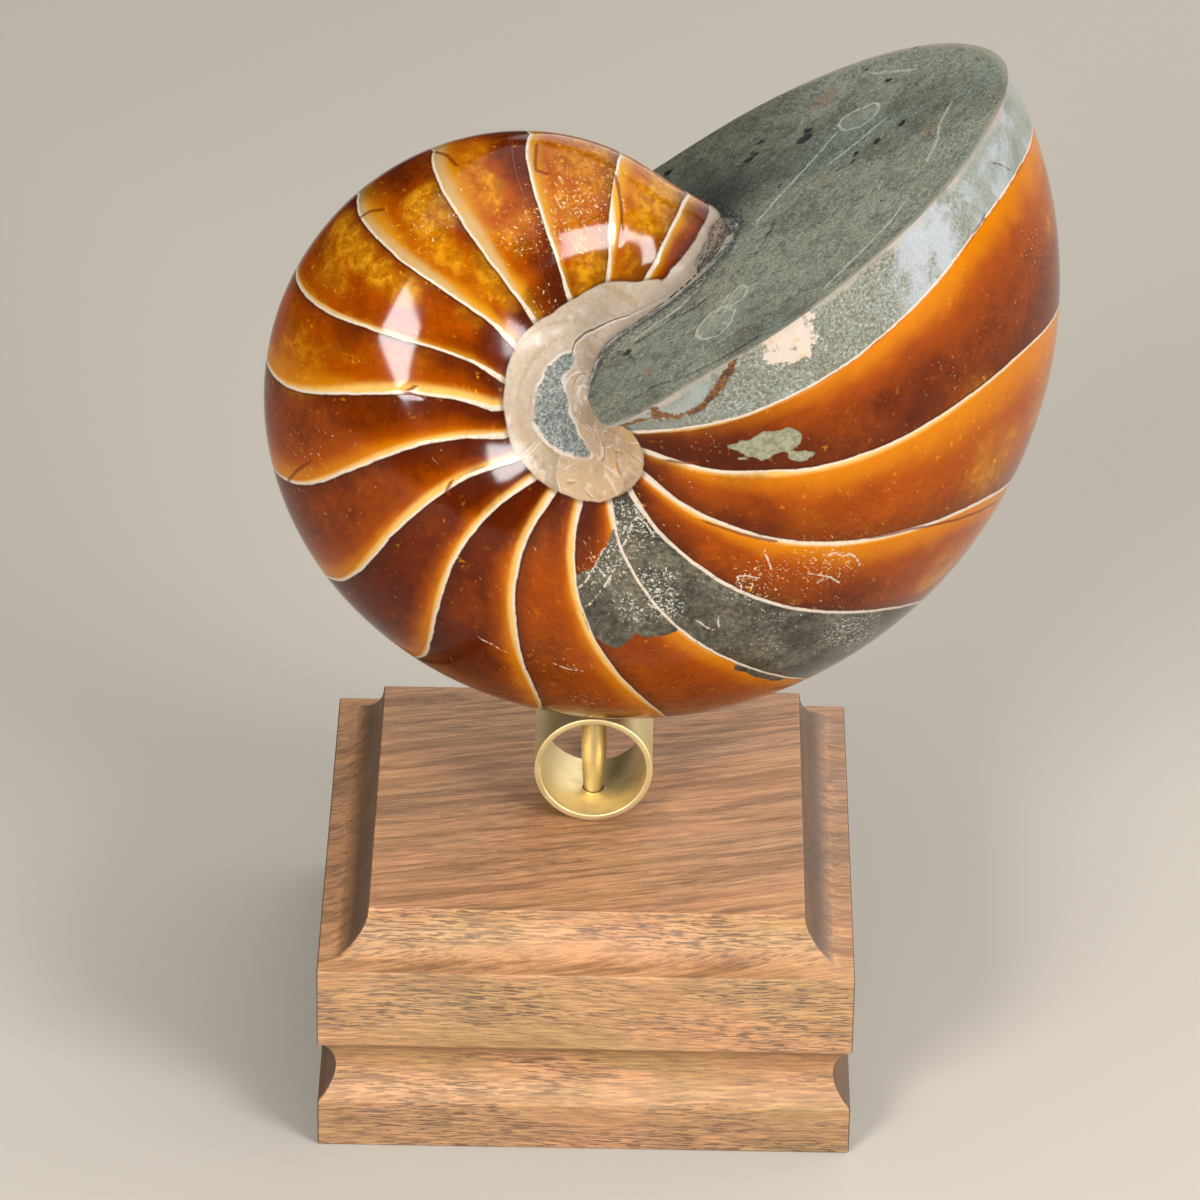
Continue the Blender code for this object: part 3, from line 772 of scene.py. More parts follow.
def makeCalcite():
    material, shader = newMaterial("polishedCalcite", calcite)
    size = calcite["noise"]
    place = node("TexCoord")["Object"]
    growth = node("UVMap", uv_map="growth")[0]
    growthTurn, growthAcross, _ = split(growth)
    across = maths("ABSOLUTE", scaled(growthAcross, 2, -1))
    plugGap, mudGap, patchGap = fromMesh("zones")
    blotGap, creamGap, seamGap = fromMesh("blots")
    darkSigned, darkPlain, spread = fromMesh("darkMarks")
    rustSigned, rustPlain, lip = fromMesh("rustMarks")
    paleSigned, palePlain, turn = fromMesh("paleMarks")
    gold, deep, glowing = fromMesh("tones")
    _, _, lineHalf = fromMesh("facePlace")
    goldCloud, deepCloud, crumbSwarm = fromMesh("clouds")
    crackSigned, crackPlain, wedgeGap = fromMesh("cracks")
    _, _, flakeGap = fromMesh("faceEdges")
    milkWidth, _, _ = fromMesh("milk")

    # noises that several layers share
    broad = cloud(place, size["broad"], 4, 0.6, 0.5)
    middle = bench["middle"] = cloud(place, size["middle"], 3, 0.6)
    fine = bench["fine"] = cloud(place, size["fine"], 3, 0.7)
    clots = cloud(place, size["clots"], 3, 0.65, 0.4)
    coarseGrain = cloud(place, size["grain"], 3, 0.8)

    # where each point lies in its chamber, in mm from the sutures before and after it
    waver = plus(swing(broad, 1.3), swing(middle, 0.5))
    chamber = plus(product(growthTurn, shell["mapChambers"]), maths("DIVIDE", waver, spread))
    part = maths("FRACT", chamber)
    after = product(part, spread)
    before = product(minus(1, part), spread)
    inBand = maths("GREATER_THAN", chamber, bandChamber)

    # amber calcite: deep brown to orange to gold, cloudy
    tone = minus(scaled(deepCloud, 0.5, deep), product(goldCloud, 0.5))
    tone = plus(shaken(shaken(tone, 1.3, broad), 0.8), ramp(plugGap, 9, 0.5, 0, 0.55))
    amber = coat("amber", "deep", tone, 0.0, 1.15)
    golden = minus(scaled(goldCloud, 0.75, product(gold, 0.8)), product(deepCloud, 0.5))
    golden = shaken(shaken(golden, 1.1, broad), 0.9)
    amber = coat(amber, "gold", golden, 0.2, 0.9, 0, 0.9)
    goldenHere = product(ramp(golden, 0.35, 0.95), ramp(turn, 0.72, 0.6, 0.4, 1))
    clotLevel = scaled(goldCloud, 0.05, shaken(clots, 0.16, broad))
    amber = coat(amber, "cloudGold", product(ramp(clotLevel, 0.50, 0.62), goldenHere, 0.5))
    amber = coat(amber, "goldBrown", product(ramp(clotLevel, 0.47, 0.38), goldenHere, 0.34))
    grain = plus(product(fine, 0.4), plus(product(middle, 0.25), product(clots, 0.35)))
    amber = shaded(amber, grain, 0.34, 0.66, calcite["darkest"], calcite["lightest"])

    # the glow before each suture, and the milky band in some of them
    reach = scaled(broad, 0.5, minus(product(glowing, calcite["glowShare"]), 0.25))
    nearness = maths("DIVIDE", minus(before, lineHalf), larger(product(spread, reach), 0.8))
    inLast = ramp(chamber, lastAmber - 0.1, lastAmber + 0.1)
    shine = product(ramp(glowing, 0, 0.6), minus(1, product(inLast, ramp(across, 0.40, 0.66, 0, 0.75))))
    amber = coat(amber, "amber", product(ramp(shaken(nearness, 0.5), 1.7, 0.4), 0.75, shine))
    glowColour = coat("cloudGold", "glow", turn, 0.36, 0.44)
    amber = coat(amber, glowColour, product(ramp(shaken(nearness, 0.35), 0.85, 0.02), 0.85, shine))
    youngSide = ramp(turn, 0.33, 0.42)
    milkShape = plus(product(ramp(across, 0.56, 0.34, 0.3, 1), minus(1, youngSide)),
                     product(ramp(across, 0.1, 0.5, 0.55, 1.25), youngSide))
    milkReach = larger(product(milkWidth, milkShape), 0.3)
    milkAway = maths("DIVIDE", shaken(shaken(before, 0.8), 1.5, broad), milkReach)
    milky = product(ramp(milkAway, 1.5, 0.45, 0, 0.85), ramp(milkWidth, 0.1, 0.5))
    milky = product(milky, ramp(clots, 0.3, 0.55, 0.7, 1))
    amber = coat(amber, coat("milk", "glowCore", youngSide), milky)

    # dusk after each suture, dark clouds and bright specks
    duskReach = ramp(turn, 0.80, 0.90, calcite["duskReach"], calcite["duskFar"])
    amber = coat(amber, "dusk", larger(ramp(after, duskReach, 0.4, 0, 0.45), ramp(after, 1.2, 0.3, 0, 0.8)))
    amber = coat(amber, "dark", shaken(deepCloud, 0.7), 0.55, 1.15, 0, 0.55)
    speck = shaken(cloud(place, size["speck"], 2, 0.6), 0.1, broad)
    amber = coat(amber, "speck", product(ramp(speck, 0.64, 0.76), ramp(golden, -0.1, 0.5, 0.2, 0.8)))

    # mud filled chamber and pools, and the pale blots
    mud = coat("mudDark", "mud", cloud(place, size["mud"], 4, 0.65), 0.3, 0.7)
    mud = shaded(mud, fine, 0.3, 0.7, 0.55, 1.45)
    pools = ramp(shaken(mudGap, 2.4), 0.12, -0.12)
    inMud = larger(maths("COMPARE", chamber, mudChamber + 0.5, 0.5), pools)
    amber = coat(amber, mud, inMud)
    blotColour = coat("blotDark", "blot", fine, 0.35, 0.6)
    amber = coat(amber, blotColour, ragged(blotGap, 3.4, 1.0), 0.15, -0.15)

    # grey band beside the cut, grainy and pale
    band = coat("band", "bandOlive", scaled(across, -0.5, broad), 0.44, 0.14)
    grainField = near(across, 0.5, 0.3, 0.1, 0.3, 1)
    band = coat(band, "bandOlive", middle, 0.52, 0.62, 0, 0.5)
    band = coat(band, "patchDark", shaken(broad, 0.3), 0.56, 0.66, 0, 0.5)
    band = coat(band, "bandGrain", product(ramp(coarseGrain, 0.51, 0.58), grainField, 0.9))
    band = coat(band, "white", product(ramp(coarseGrain, 0.43, 0.37), grainField, 0.45))
    # pale patch near the cut: partly wear, partly a painted highlight
    wornAndHighlight = product(ramp(across, 0.44, 0.34), ramp(shaken(broad, 0.5), 0.42, 0.60))
    band = coat(band, "bandWornHighlight", product(wornAndHighlight, 0.75))
    flakes = ramp(ragged(flakeGap, 2.2, 1.4), 0.2, -0.2)
    band = coat(band, "patch", product(flakes, ramp(middle, 0.38, 0.6, 0.25, 0.9)))
    chalk = coat("chalk", "plugWarm", middle, 0.54, 0.62, 0, 0.5)
    inChalk = ramp(ragged(creamGap, 6.5, 3.4), 0.15, -0.15, 0, 0.92)
    band = coat(band, chalk, product(inChalk, ramp(clots, 0.36, 0.44, 0.3, 1)))
    rimCrust = ramp(ragged(before, 4.5, 1.6), 1.6, 0.4)
    band = coat(band, "wall", product(rimCrust, ramp(broad, 0.4, 0.6, 0.3, 0.9)))
    amber = coat(amber, band, inBand)

    # white crumbs and hatches, gathered in swarms
    crumbLevel = scaled(crumbSwarm, 0.145, shaken(cloud(place, size["crumbs"], 3, 0.75), 0.10))
    crumbs = product(ramp(crumbLevel, 0.735, 0.765), minus(1, product(inMud, 0.75)))
    dustLevel = scaled(crumbSwarm, 0.12, shaken(coarseGrain, 0.12))
    hatchNoise = cloud(stretched(place, turn=(20, 34, 0)), size["hatches"], 2, 0.5)
    hatches = ramp(scaled(crumbSwarm, 0.09, hatchNoise), 0.74, 0.78, 0, 0.6)
    amber = coat(amber, "crumb", product(larger(crumbs, hatches), 0.8))
    amber = coat(amber, "dust", product(ramp(dustLevel, 0.665, 0.70), inMud, 0.85))

    # the sutures, pale with a sharp far side, and the cream wedge beside the second
    wide = plus(shaken(lineHalf, 0.3, broad), ramp(plugGap, 9, 0, 0, 0.34))
    gap = maths("MINIMUM", before, product(after, 1.7))
    line = maths("DIVIDE", minus(wide, gap), ramp(glowing, 0, 0.7, 0.12, 0.3))
    line = product(ramp(line, -0.7, 1.0), maths("LESS_THAN", chamber, bandChamber + 0.5))
    amber = coat(amber, "line", product(line, ramp(fine, 0.30, 0.5, 0.55, 1), 0.95))
    inWedge = ramp(shaken(wedgeGap, 0.5), 0.15, -0.2)
    wedgeColour = coat("line", "cloudGold", shaken(darkPlain, 0.8), 2.1, 0.9)
    amber = coat(amber, wedgeColour, product(inWedge, ramp(across, 0.43, 0.33), 0.9))

    # plug of the umbilicus, smooth cream, tan low down, streaked along the growth
    plugBands = cloud(growth, size["plugBands"], 3, 0.55, 0.3)
    tanShare = plus(ramp(turn, 0.45, 0.72, 0, 0.62), ramp(plugBands, 0.46, 0.62, 0, 0.5))
    cream = coat("cream", "tan", shaken(tanShare, 0.5, broad))
    cream = coat(cream, "white", product(ramp(across, 0.82, 0.87), ramp(plugBands, 0.52, 0.58), 0.7))
    warmth = product(ramp(turn, 0.5, 0.7), ramp(plus(middle, broad), 0.98, 1.2, 0, 0.65))
    cream = coat(cream, "plugWarm", warmth)
    cream = coat(cream, "white", middle, 0.58, 0.72, 0, 0.6)
    cream = shaded(cream, fine, 0.3, 0.7, 0.9, 1.08)
    plates = {"Vector": stretched(place, (1, 1, 0.7), (0, 24, 0)), "Scale": size["plates"]}
    plateWidth = node("TexVoronoi", plates, feature="DISTANCE_TO_EDGE")["Distance"]
    plateTone, plateWarmth, _ = split(node("TexVoronoi", plates)["Color"])
    plated = ramp(turn, 0.50, 0.62)
    cream = coat(cream, shaded(cream, plateTone, 0, 1, 0.84, 1.14), plated)
    cream = coat(cream, "plugWarm", product(plated, ramp(plateWarmth, 0.45, 0.9, 0, 0.5)))
    plateRim = ramp(shaken(plateWidth, 0.03, fine), 0.035, 0.01)
    cream = coat(cream, "white", product(plateRim, plated, ramp(middle, 0.40, 0.60), 0.5))
    cream = coat(cream, "wall", product(ramp(turn, wallEnd + 0.004, wallEnd - 0.006), 0.7))
    plugEdgeGap = shaken(plugGap, 1.1)
    inPlug = ramp(plugEdgeGap, 0.2, -0.25)
    colour = coat(coat(amber, "dusk", plugEdgeGap, 1.3, 0.1, 0, 0.6), cream, inPlug)

    # grey sunk patch with its bright border, the dark seam, and the broken lip
    patchEdge = ragged(patchGap, 1.9, 0.9)
    patch = coat("patchDark", "patch", plus(product(fine, 0.5), product(coarseGrain, 0.5)), 0.42, 0.56)
    patch = coat(patch, "white", coarseGrain, 0.57, 0.64, 0, 0.7)
    border = near(patchEdge, 0.3, 0.4, 0.1, 0, 0.8)
    colour = coat(colour, "white", product(border, ramp(middle, 0.36, 0.52, 0.25, 1)))
    colour = coat(colour, patch, patchEdge, 0.15, -0.2)
    seamAway = maths("ABSOLUTE", seamGap)
    colour = coat(colour, "white", near(seamAway, 0.6, 0.4, 0.15, 0, 0.5))
    colour = coat(colour, "seam", shaken(seamAway, 0.3), 0.3, 0.1, 0, 0.85)
    lipColour = coat("lip", "band", middle, 0.40, 0.62, 0, 0.6)
    lipLine = near(cloud(growth, size["lip"], 3, 0.6, 0.8), 0.5, 0.07, 0.02)
    lipColour = coat(lipColour, "lipDark", product(lipLine, ramp(fine, 0.34, 0.46), 0.9))
    # painted shade along the lip's edge at the cut, broken up by the grain
    lipEdgeShade = product(ramp(shaken(turn, 0.008), 0.0075, 0.0045), ramp(coarseGrain, 0.56, 0.50))
    lipColour = coat(lipColour, "seam", product(lipEdgeShade, 0.8))
    lipColour = coat(lipColour, "white", fine, 0.58, 0.66, 0, 0.7)
    colour = coat(colour, lipColour, shaken(lip, 0.5), 0.35, 0.5)

    # drawn marks: dark cracks, rust veins, pale scratches
    def stroke(signed, plain, width, fade):
        return product(near(shaken(signed, 0.5), 0, width, width * 0.3), ramp(plain, fade + 0.5, fade))

    cracked = product(stroke(darkSigned, darkPlain, 0.52, 0.5), minus(1, inBand), 0.78)
    colour = coat(colour, coat("crack", "plugCrack", inPlug), cracked)
    hair = product(stroke(darkSigned, darkPlain, 0.24, 0.3), ramp(middle, 0.38, 0.5), inBand, 0.75)
    colour = coat(colour, "seam", hair)
    plateEdge = product(near(shaken(crackSigned, 1.0), 0.5, 0.34, 0.08), ramp(crackPlain, 1.2, 0.8))
    colour = coat(colour, "white", product(plateEdge, ramp(middle, 0.42, 0.56), inPlug, 0.4))
    plateCrack = product(stroke(crackSigned, crackPlain, 0.26, 0.4), ramp(middle, 0.44, 0.58), inPlug, 0.7)
    colour = coat(colour, "plugCrack", plateCrack)
    rustAway = minus(maths("ABSOLUTE", ragged(rustSigned, 2.2, 1.1)), ramp(clots, 0.40, 0.62, 0.12, 0.85))
    vein = coat("rustDark", "rust", plus(fine, middle), 0.9, 1.06)
    colour = coat(colour, vein, product(ramp(rustAway, 0.3, -0.1), ramp(rustPlain, 2.4, 1.6), 0.9))
    scratch = product(stroke(paleSigned, palePlain, 0.26, 0.5), ramp(fine, 0.40, 0.54), 0.8)
    colour = coat(colour, "line", scratch)

    finish = ramp(larger(inPlug, product(lip, 1.5)), 0, 1, calcite["roughPolish"], calcite["roughPlug"])
    finish = plus(finish, ramp(patchEdge, 0.1, -0.2, 0, 0.3))
    finish = plus(finish, ramp(broad, 0.45, 0.8, 0, 0.08))
    relief = plus(scaled(crumbs, 0.5, product(line, 0.5)), product(middle, 0.25))
    feed(shader, {
        "Base Color": colour, "Roughness": finish,
        "IOR": calcite["refraction"], "Specular IOR Level": calcite["specular"],
        "Subsurface Weight": calcite["subsurface"], "Subsurface Radius": calcite["subsurfaceRadius"],
        "Subsurface Scale": calcite["subsurfaceScale"],
        "Normal": bumped(relief, calcite["bump"], calcite["bumpDistance"]),
    })
    return material


face = {
    "light": 0.57,
    "paint": {
        "stone": (138, 140, 120), "stoneDark": (100, 102, 86), "teal": (124, 138, 126),
        "chalk": (204, 208, 190), "pit": (30, 32, 32), "rust": (146, 106, 74), "rimPale": (186, 174, 156),
        "crust": (176, 172, 160), "crustDark": (62, 64, 60), "crack": (48, 46, 42), "shadow": (40, 41, 37),
    },
    "darkest": 0.44, "lightest": 1.56, "roughness": 0.62, "roughnessGain": 0.16, "specular": 0.4,
    "bump": 0.7, "bumpDistance": 0.0003,
    "noise": {"broad": 34, "middle": 260, "fine": 1500, "teal": 50, "hatches": 40, "lining": (0.9, 220, 1)},
    "sawMarks": ((-34, 1300, 110), (22, 1500, 150)),        # turn in degrees, fineness across and along
}


def makeSawnFace():
    material, shader = newMaterial("sawnCalcite", face)
    size = face["noise"]
    place = node("TexCoord")["Object"]
    flat = node("Attribute", attribute_name="facePlace")["Vector"]
    out, along, pit = split(flat)
    loopGap, scoreSigned, scorePlain = fromMesh("faceMarks")
    _, _, stain = fromMesh("tones")
    toRim, toContact, crackAway = fromMesh("faceEdges")
    broad = cloud(place, size["broad"], 4, 0.6, 0.4)
    middle = bench["middle"] = cloud(place, size["middle"], 4, 0.65)
    fine = bench["fine"] = cloud(place, size["fine"], 3, 0.8)

    def hatching(angle, fineness, stretch):     # fine parallel saw marks
        return cloud(stretched(flat, turn=(0, 0, angle)), (fineness, stretch, 1), 3, 0.65)

    colour = coat("stoneDark", "stone", shaken(broad, 0.25), 0.32, 0.66)
    colour = coat(colour, "teal", cloud(place, size["teal"], 3, 0.5, 0.8), 0.48, 0.66, 0, 0.6)
    colour = coat(colour, "shadow", product(ramp(toContact, 34, 6), ramp(along, -0.002, -0.02), 0.85))
    # painted light: the cut lighter towards its outer, upper end
    colour = shaded(colour, out, 0.045, 0.075, 1.0, 1.14)
    first, second = (hatching(*marks) for marks in face["sawMarks"])
    hatch = coat(first, second, cloud(place, size["hatches"], 2), 0.42, 0.58)
    colour = shaded(colour, hatch, 0.3, 0.7, 0.86, 1.14)
    colour = shaded(colour, fine, 0.3, 0.7, face["darkest"], face["lightest"])
    colour = shaded(colour, middle, 0.3, 0.7, 0.76, 1.24)
    chalky = (hatch, 0.64, 0.76, 0.3), (middle, 0.60, 0.74, 0.35), (fine, 0.61, 0.68, 0.5)
    for grain, start, end, share in chalky:
        colour = coat(colour, "chalk", grain, start, end, 0, share)

    # scratched loops and lines, and cracks
    loop = product(near(shaken(loopGap, 0.7), 0, 0.5, 0.15), ramp(fine, 0.32, 0.52, 0.2, 0.75))
    colour = coat(colour, "chalk", larger(loop, ramp(loopGap, 0.2, -0.8, 0, 0.16)))
    score = product(near(shaken(scoreSigned, 0.6), 0, 0.6, 0.12), ramp(scorePlain, 1.6, 0.9))
    colour = coat(colour, "chalk", product(score, ramp(fine, 0.36, 0.52, 0.15, 0.75)))
    crack = product(ramp(shaken(crackAway, 1.7), 0.8, 0.15, 0, 0.8), ramp(fine, 0.62, 0.42, 0.3, 1))
    colour = coat(colour, "crack", crack)

    # the layered crust at the old whorl, pits, stains and the worn rim
    lining = cloud(node("CombineXYZ", {0: toContact, 1: along})[0], size["lining"], 4, 0.75, 0.4)
    crustAway = ragged(toContact, 2.6, 1.4)
    crust = coat("crust", "crustDark", scaled(crustAway, 0.10, lining), 0.50, 0.60)
    crust = coat(crust, "chalk", fine, 0.56, 0.64, 0, 0.8)
    inCrust = ramp(crustAway, 4.2, 2.2, 0, 0.9)
    colour = coat(colour, crust, product(inCrust, ramp(lining, 0.34, 0.46, 0.4, 1)))
    hole = ramp(ragged(pit, 1.6, 1.1), 0.22, 0.42)
    crumbs = product(ramp(middle, 0.36, 0.30, 0, 0.7), ramp(broad, 0.48, 0.6))
    colour = coat(colour, "pit", larger(hole, crumbs))
    colour = coat(colour, "rust", shaken(stain, 0.8), 0.25, 0.8, 0, 0.5)
    edge = ramp(ragged(toRim, 3.6, 1.2), 1.8, 0.4, 0, 0.8)
    colour = coat(colour, "rimPale", product(edge, ramp(broad, 0.4, 0.6, 0.25, 1)))

    relief = minus(scaled(fine, 0.6, product(hatch, 0.5)), larger(hole, crack))
    dullest = face["roughness"] + face["roughnessGain"]
    feed(shader, {
        "Base Color": colour, "Roughness": ramp(broad, 0.3, 0.7, face["roughness"], dullest),
        "Specular IOR Level": face["specular"], "Normal": bumped(relief, face["bump"], face["bumpDistance"]),
    })
    return material


fossil = makeShell()
print("shell grown:", len(fossil.data.polygons), "faces")
settlePiece(fossil, (makeCalcite(), makeSawnFace()), "nautilus", shell["smoothAngle"])
print("fossil finished")

# brass tube and its pin
tube = {
    "middle": 0.0007, "axisHeight": 0.0585, "radius": 0.0112, "wall": 0.0012, "front": -0.009, "back": 0.0114,
    "sides": 128, "rimBevel": 0.00022, "rimAngle": 60, "smoothAngle": 35,
    "drillSides": 48, "drillGap": 0.0003, "drillLength": 0.04,
    "light": 0.89, "paint": {"brass": (228, 208, 156), "brassDark": (204, 180, 126)},
    "brush": (260, 3200, 260), "wear": 130,         # fineness of the brush marks and of the wear
    "roughness": (0.44, 0.6), "bump": 0.3, "bumpDistance": 0.00006,
}
pin = {
    "place": (0.0007, 0.0012), "endRadius": 0.0018, "barrelGain": 0.00055, "barrelHalf": 0.010,
    "barrelPower": 0.8, "bottom": 0.037, "top": 0.079, "chamfer": 0.0006, "sides": 64, "barrelSteps": 20,
    "smoothAngle": 35,
    "light": 0.82, "paint": {"brass": (228, 206, 150)},
    "brush": (2600, 2600, 120), "wear": 130, "roughness": (0.44, 0.6), "bump": 0.3, "bumpDistance": 0.00006,
}


def makeBrass(name, values):
    material, shader = newMaterial(name, values)
    place = node("TexCoord")["Object"]
    brush = cloud(place, values["brush"], 3, 0.6)
    wear = cloud(place, values["wear"], 4, 0.6)
    dark = tint(tube["paint"]["brassDark"], tube["light"])
    colour = coat("brass", dark, brush, 0.3, 0.7, 0.0, 0.35)
    colour = coat(colour, dark, wear, 0.52, 0.75, 0, 0.45)
    feed(shader, {
        "Base Color": colour, "Metallic": 1.0,
        "Roughness": ramp(plus(brush, wear), 0.7, 1.3, *values["roughness"]),
        "Normal": bumped(brush, values["bump"], values["bumpDistance"]),
    })
    return material


def makeTube():
    startPiece()
    place = (tube["middle"], (tube["back"] + tube["front"]) / 2, tube["axisHeight"])
    bpy.ops.mesh.primitive_cylinder_add(vertices=tube["sides"], radius=tube["radius"],
                                        depth=tube["back"] - tube["front"], end_fill_type="NOTHING",
                                        location=place, rotation=(math.pi / 2, 0, 0))
    piece = bpy.context.object
    piece.name = "brassTube"
    editWhole(bpy.ops.mesh.normals_make_consistent, inside=False)
    modify(piece, "SOLIDIFY", thickness=tube["wall"], offset=-1)
    modify(piece, "BEVEL", width=tube["rimBevel"], segments=3, limit_method="ANGLE",
           angle_limit=math.radians(tube["rimAngle"]))
    startPiece()
    bpy.ops.mesh.primitive_cylinder_add(vertices=tube["drillSides"], depth=tube["drillLength"],
                                        radius=pin["endRadius"] + tube["drillGap"],
                                        location=pin["place"] + (tube["axisHeight"],))
    drill = bpy.context.object
    pick(piece)
    modify(piece, "BOOLEAN", operation="DIFFERENCE", object=drill)
    bpy.data.objects.remove(drill)
    return piece


def makePin():
    startPiece()
    foot = pin["endRadius"] - pin["chamfer"]
    bpy.ops.mesh.primitive_circle_add(vertices=pin["sides"], radius=foot, fill_type="NGON",
                                      location=pin["place"] + (pin["bottom"],))
    piece = bpy.context.object
    piece.name = "brassPin"
    levels = [(pin["bottom"] + pin["chamfer"], pin["endRadius"])]
    for step in range(pin["barrelSteps"] + 1):
        along = 2 * step / pin["barrelSteps"] - 1
        swell = max(math.cos(along * math.pi / 2), 0)**pin["barrelPower"]
        radius = pin["endRadius"] + pin["barrelGain"] * swell
        levels.append((tube["axisHeight"] + along * pin["barrelHalf"], radius))
    levels += [(pin["top"] - pin["chamfer"], pin["endRadius"]), (pin["top"], foot)]
    drawUp(levels, pin["bottom"], foot, pin["place"])
    return piece


settlePiece(makeTube(), [makeBrass("brushedBrass", tube)], "brass_tube", tube["smoothAngle"])
settlePiece(makePin(), [makeBrass("turnedBrass", pin)], "brass_pin", pin["smoothAngle"])
print("brass finished")

# walnut plinth
plinth = {
    "width": 0.100, "height": 0.047, "topWidth": 0.0816, "coveFoot": 0.0386,
    "grooveTop": 0.0224, "grooveBottom": 0.0098, "grooveDepth": 0.0032, "groovePower": 0.7,
    "coveSteps": 14, "grooveSteps": 16, "edgeBevel": 0.00045, "edgeAngle": 32, "smoothAngle": 25,
    "light": 0.5,
    "paint": {
        "wood": (199, 153, 99), "woodDark": (150, 103, 62), "woodRed": (219, 157, 107), "pore": (78, 52, 36),
        "poreGrey": (86, 72, 62), "endGrain": (74, 50, 34), "endRing": (104, 72, 48), "endPore": (40, 27, 20),
    },
    "grainBend": 0.008, "bendScale": 9.0,
    "topTurn": (14, 0, -13), "frontTurn": (5, 0, -4), "endTurn": (9, 0, 0),     # degrees
    "grain": {                      # fineness along each axis
        "broad": (7, 110, 90), "rings": (9, 460, 320), "fibres": (60, 1700, 1300), "pores": (190, 3000, 2400),
        "frontFibres": (90, 700, 1900), "frontPores": (260, 1400, 3600), "poreFields": (20, 90, 120),
        "endRings": (6, 26, 300), "endPores": (600, 2300, 2900),
    },
    "lowerDarkStart": 0.0135, "lowerDarkFull": 0.0075, "lowerDarkLevel": 0.84,
    "roughness": (0.42, 0.56), "bump": 0.5, "bumpDistance": 0.00018,
}


def makePlinth():
    half = plinth["width"] / 2
    cove = plinth["height"] - plinth["coveFoot"]
    groove = plinth["grooveTop"] - plinth["grooveBottom"]
    levels = [(plinth["grooveBottom"], half)]
    for step in range(1, plinth["grooveSteps"]):
        share = step / plinth["grooveSteps"]
        cut = plinth["grooveDepth"] * math.sin(math.pi * share)**plinth["groovePower"]
        levels.append((plinth["grooveBottom"] + groove * share, half - cut))
    levels += [(plinth["grooveTop"], half), (plinth["coveFoot"], half)]
    for step in range(1, plinth["coveSteps"] + 1):
        sweep = math.pi / 2 * (1 - step / plinth["coveSteps"])
        reach = half - (half - plinth["topWidth"] / 2) * math.cos(sweep)
        levels.append((plinth["height"] - cove * math.sin(sweep), reach))
    startPiece()
    bpy.ops.mesh.primitive_plane_add(size=2 * half, location=(0, 0, 0))
    piece = bpy.context.object
    piece.name = "walnutPlinth"
    drawUp(levels, 0.0, half, (0, 0))
    modify(piece, "BEVEL", width=plinth["edgeBevel"], segments=3, limit_method="ANGLE",
           angle_limit=math.radians(plinth["edgeAngle"]))
    bpy.ops.object.shade_smooth_by_angle(angle=math.radians(plinth["smoothAngle"]))
    modify(piece, "WEIGHTED_NORMAL", keep_sharp=True)
    return piece


def makeWalnut():
    material, shader = newMaterial("oiledWalnut", plinth)
    place = node("TexCoord")["Object"]
    grain = plinth["grain"]
    drift = node("TexNoise", {"Scale": plinth["bendScale"], "Vector": place})["Color"]
    sway = (0, plinth["grainBend"], plinth["grainBend"])
    bend = node("VectorMath", {0: drift, 1: sway, 2: place}, operation="MULTIPLY_ADD")[0]
    topPlace = stretched(bend, turn=plinth["topTurn"])
    frontPlace = stretched(bend, turn=plinth["frontTurn"])
    facingX, _, facingZ = split(node("TexCoord")["Normal"])
    topward = ramp(facingZ, 0.6, 0.98)
    endward = ramp(maths("ABSOLUTE", facingX), 0.25, 0.7)
    broad = cloud(topPlace, grain["broad"], 3, 0.55)
    rings = cloud(topPlace, grain["rings"], 4, 0.6, 0.2)
    frontFibres = cloud(frontPlace, grain["frontFibres"], 3, 0.65)
    fibres = coat(frontFibres, cloud(topPlace, grain["fibres"], 3, 0.65), topward)
    frontPores = cloud(frontPlace, grain["frontPores"], 2, 0.6)
    pores = coat(frontPores, cloud(topPlace, grain["pores"], 2, 0.6), topward)
    poreFields = cloud(frontPlace, grain["poreFields"], 3, 0.6)

    colour = coat(coat("wood", "woodRed", broad, 0.34, 0.68), "woodRed", product(topward, 0.62))
    colour = coat(colour, "woodDark", product(ramp(rings, 0.44, 0.62), ramp(topward, 0, 1, 0.3, 0.66)))
    colour = shaded(colour, fibres, 0.32, 0.68, 0.74, 1.18)
    endRings = cloud(stretched(bend, grain["endRings"], plinth["endTurn"]), 1.0, 3, 0.6, 0.5)
    endGrain = coat("endGrain", "endRing", endRings, 0.36, 0.66)
    endGrain = coat(endGrain, "endPore", cloud(place, grain["endPores"], 2, 0.6), 0.56, 0.64, 0, 0.7)
    colour = coat(colour, endGrain, product(endward, 0.85))
    # darker towards the bottom
    height = scaled(broad, 0.004, split(place)[2])
    colour = shaded(colour, height, plinth["lowerDarkStart"], plinth["lowerDarkFull"], 1.0, plinth["lowerDarkLevel"])
    dash = product(ramp(pores, 0.49, 0.57), ramp(poreFields, 0.38, 0.58, 0.35, 1))
    dash = product(dash, minus(1, larger(product(endward, 0.7), product(topward, 0.5))))
    poreColour = coat("pore", "poreGrey", cloud(place, 30, 2), 0.45, 0.6)
    colour = coat(colour, poreColour, product(dash, 0.72))
    feed(shader, {
        "Base Color": colour, "Roughness": ramp(broad, 0.3, 0.7, *plinth["roughness"]),
        "Normal": bumped(minus(product(rings, 0.4), dash), plinth["bump"], plinth["bumpDistance"]),
    })
    return material


settlePiece(makePlinth(), (makeWalnut(),), "plinth")
print("plinth finished")

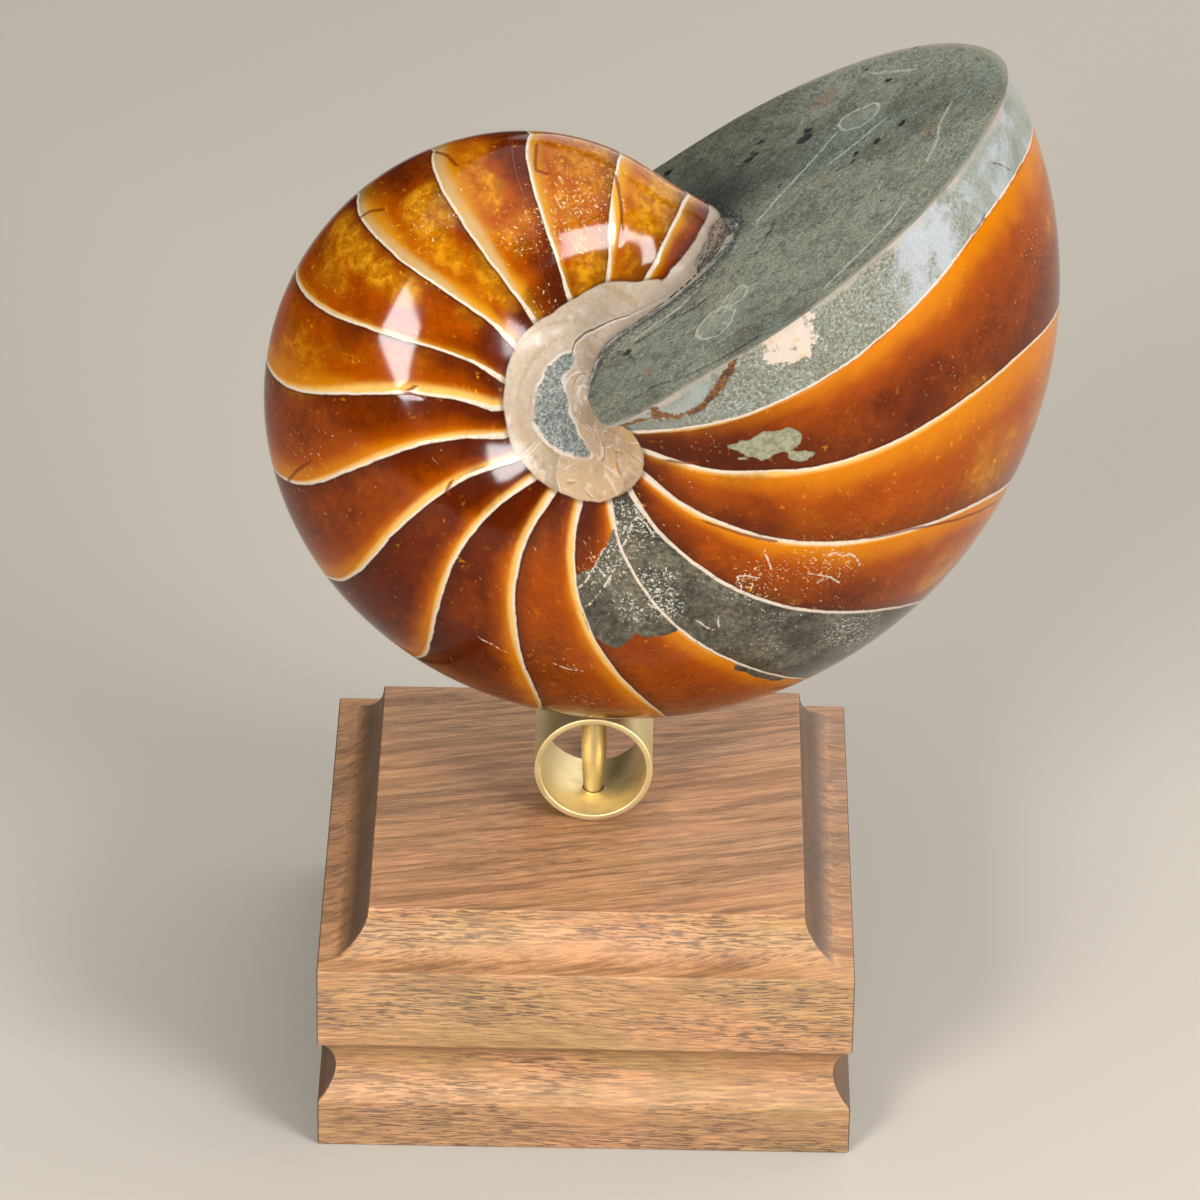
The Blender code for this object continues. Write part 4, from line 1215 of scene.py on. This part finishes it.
# floor, light and camera
studio = {
    "light": 0.42, "paint": {"floor": (218, 209, 194)}, "floorSize": 14.0, "floorRoughness": 0.85,
    "world": (214, 206, 196), "worldStrength": 0.09, "lightsAimAt": (0, 0, 0.12),
    "target": (0.00143, 0.0, 0.09051), "distance": 1.2693, "azimuth": 0.16, "elevation": 29.84, "roll": 0.89,
    "focal": 202.56, "filmWidth": 36, "farthest": 20,
}
softboxes = [       # azimuth and elevation from the front, turn in its plane, distance, width, height, watts
    ("leftBox", -30, 23, -28, 1.10, 0.37, 0.31, 17.5),
    ("rightBox", 47, 20, 0, 1.15, 0.45, 0.36, 20.5),
    ("rimBox", 104, 21, 0, 1.20, 0.90, 0.60, 3.4),
    ("backBox", 152, 24, 0, 1.40, 1.40, 1.00, 9.5),
    ("topBox", 62, 74, 0, 2.20, 3.40, 3.40, 68.0),
]


def aim(azimuth, elevation):        # direction from the piece, azimuth from the front towards +X
    azimuth, elevation = math.radians(azimuth), math.radians(elevation)
    flat = math.cos(elevation)
    return Vector((math.sin(azimuth) * flat, -math.cos(azimuth) * flat, math.sin(elevation)))


def makeStudio():
    startPiece()
    bpy.ops.mesh.primitive_plane_add(size=studio["floorSize"], location=(0, 0, 0))
    floor = bpy.context.object
    floor.name = "floor"
    material, shader = newMaterial("paleFloor", studio)
    feed(shader, {"Base Color": "floor", "Roughness": studio["floorRoughness"]})
    floor.data.materials.append(material)
    world = bpy.data.worlds.new("softWorld")
    world.use_nodes = True
    sky = world.node_tree.nodes["Background"]
    sky.inputs["Color"].default_value = display(*studio["world"])
    sky.inputs["Strength"].default_value = studio["worldStrength"]
    bpy.context.scene.world = world
    for name, azimuth, elevation, turn, distance, width, height, watts in softboxes:
        light = bpy.data.lights.new(name, "AREA")
        light.shape = "RECTANGLE"
        light.size = width
        light.size_y = height
        light.energy = watts
        lamp = bpy.data.objects.new(name, light)
        direction = aim(azimuth, elevation)
        lamp.location = Vector(studio["lightsAimAt"]) + direction * distance
        facing = direction.to_track_quat("Z", "Y") @ Quaternion((0, 0, 1), math.radians(turn))
        lamp.rotation_euler = facing.to_euler()
        bpy.context.scene.collection.objects.link(lamp)


def makeCamera():
    lens = bpy.data.cameras.new("studioCamera")
    lens.lens = studio["focal"]
    lens.sensor_width = studio["filmWidth"]
    lens.clip_end = studio["farthest"]
    camera = bpy.data.objects.new("studioCamera", lens)
    back = aim(studio["azimuth"], studio["elevation"])
    azimuth, roll = math.radians(studio["azimuth"]), math.radians(studio["roll"])
    right = Vector((math.cos(azimuth), math.sin(azimuth), 0))
    up = back.cross(right)
    turnedRight = math.cos(roll) * right + math.sin(roll) * up
    turnedUp = -math.sin(roll) * right + math.cos(roll) * up
    pose = Matrix((turnedRight, turnedUp, back)).transposed().to_4x4()
    pose.translation = Vector(studio["target"]) + back * studio["distance"]
    camera.matrix_world = pose
    bpy.context.scene.collection.objects.link(camera)
    bpy.context.scene.camera = camera
    bpy.context.scene.view_settings.view_transform = "Standard"


makeStudio()
makeCamera()
print("studio set")
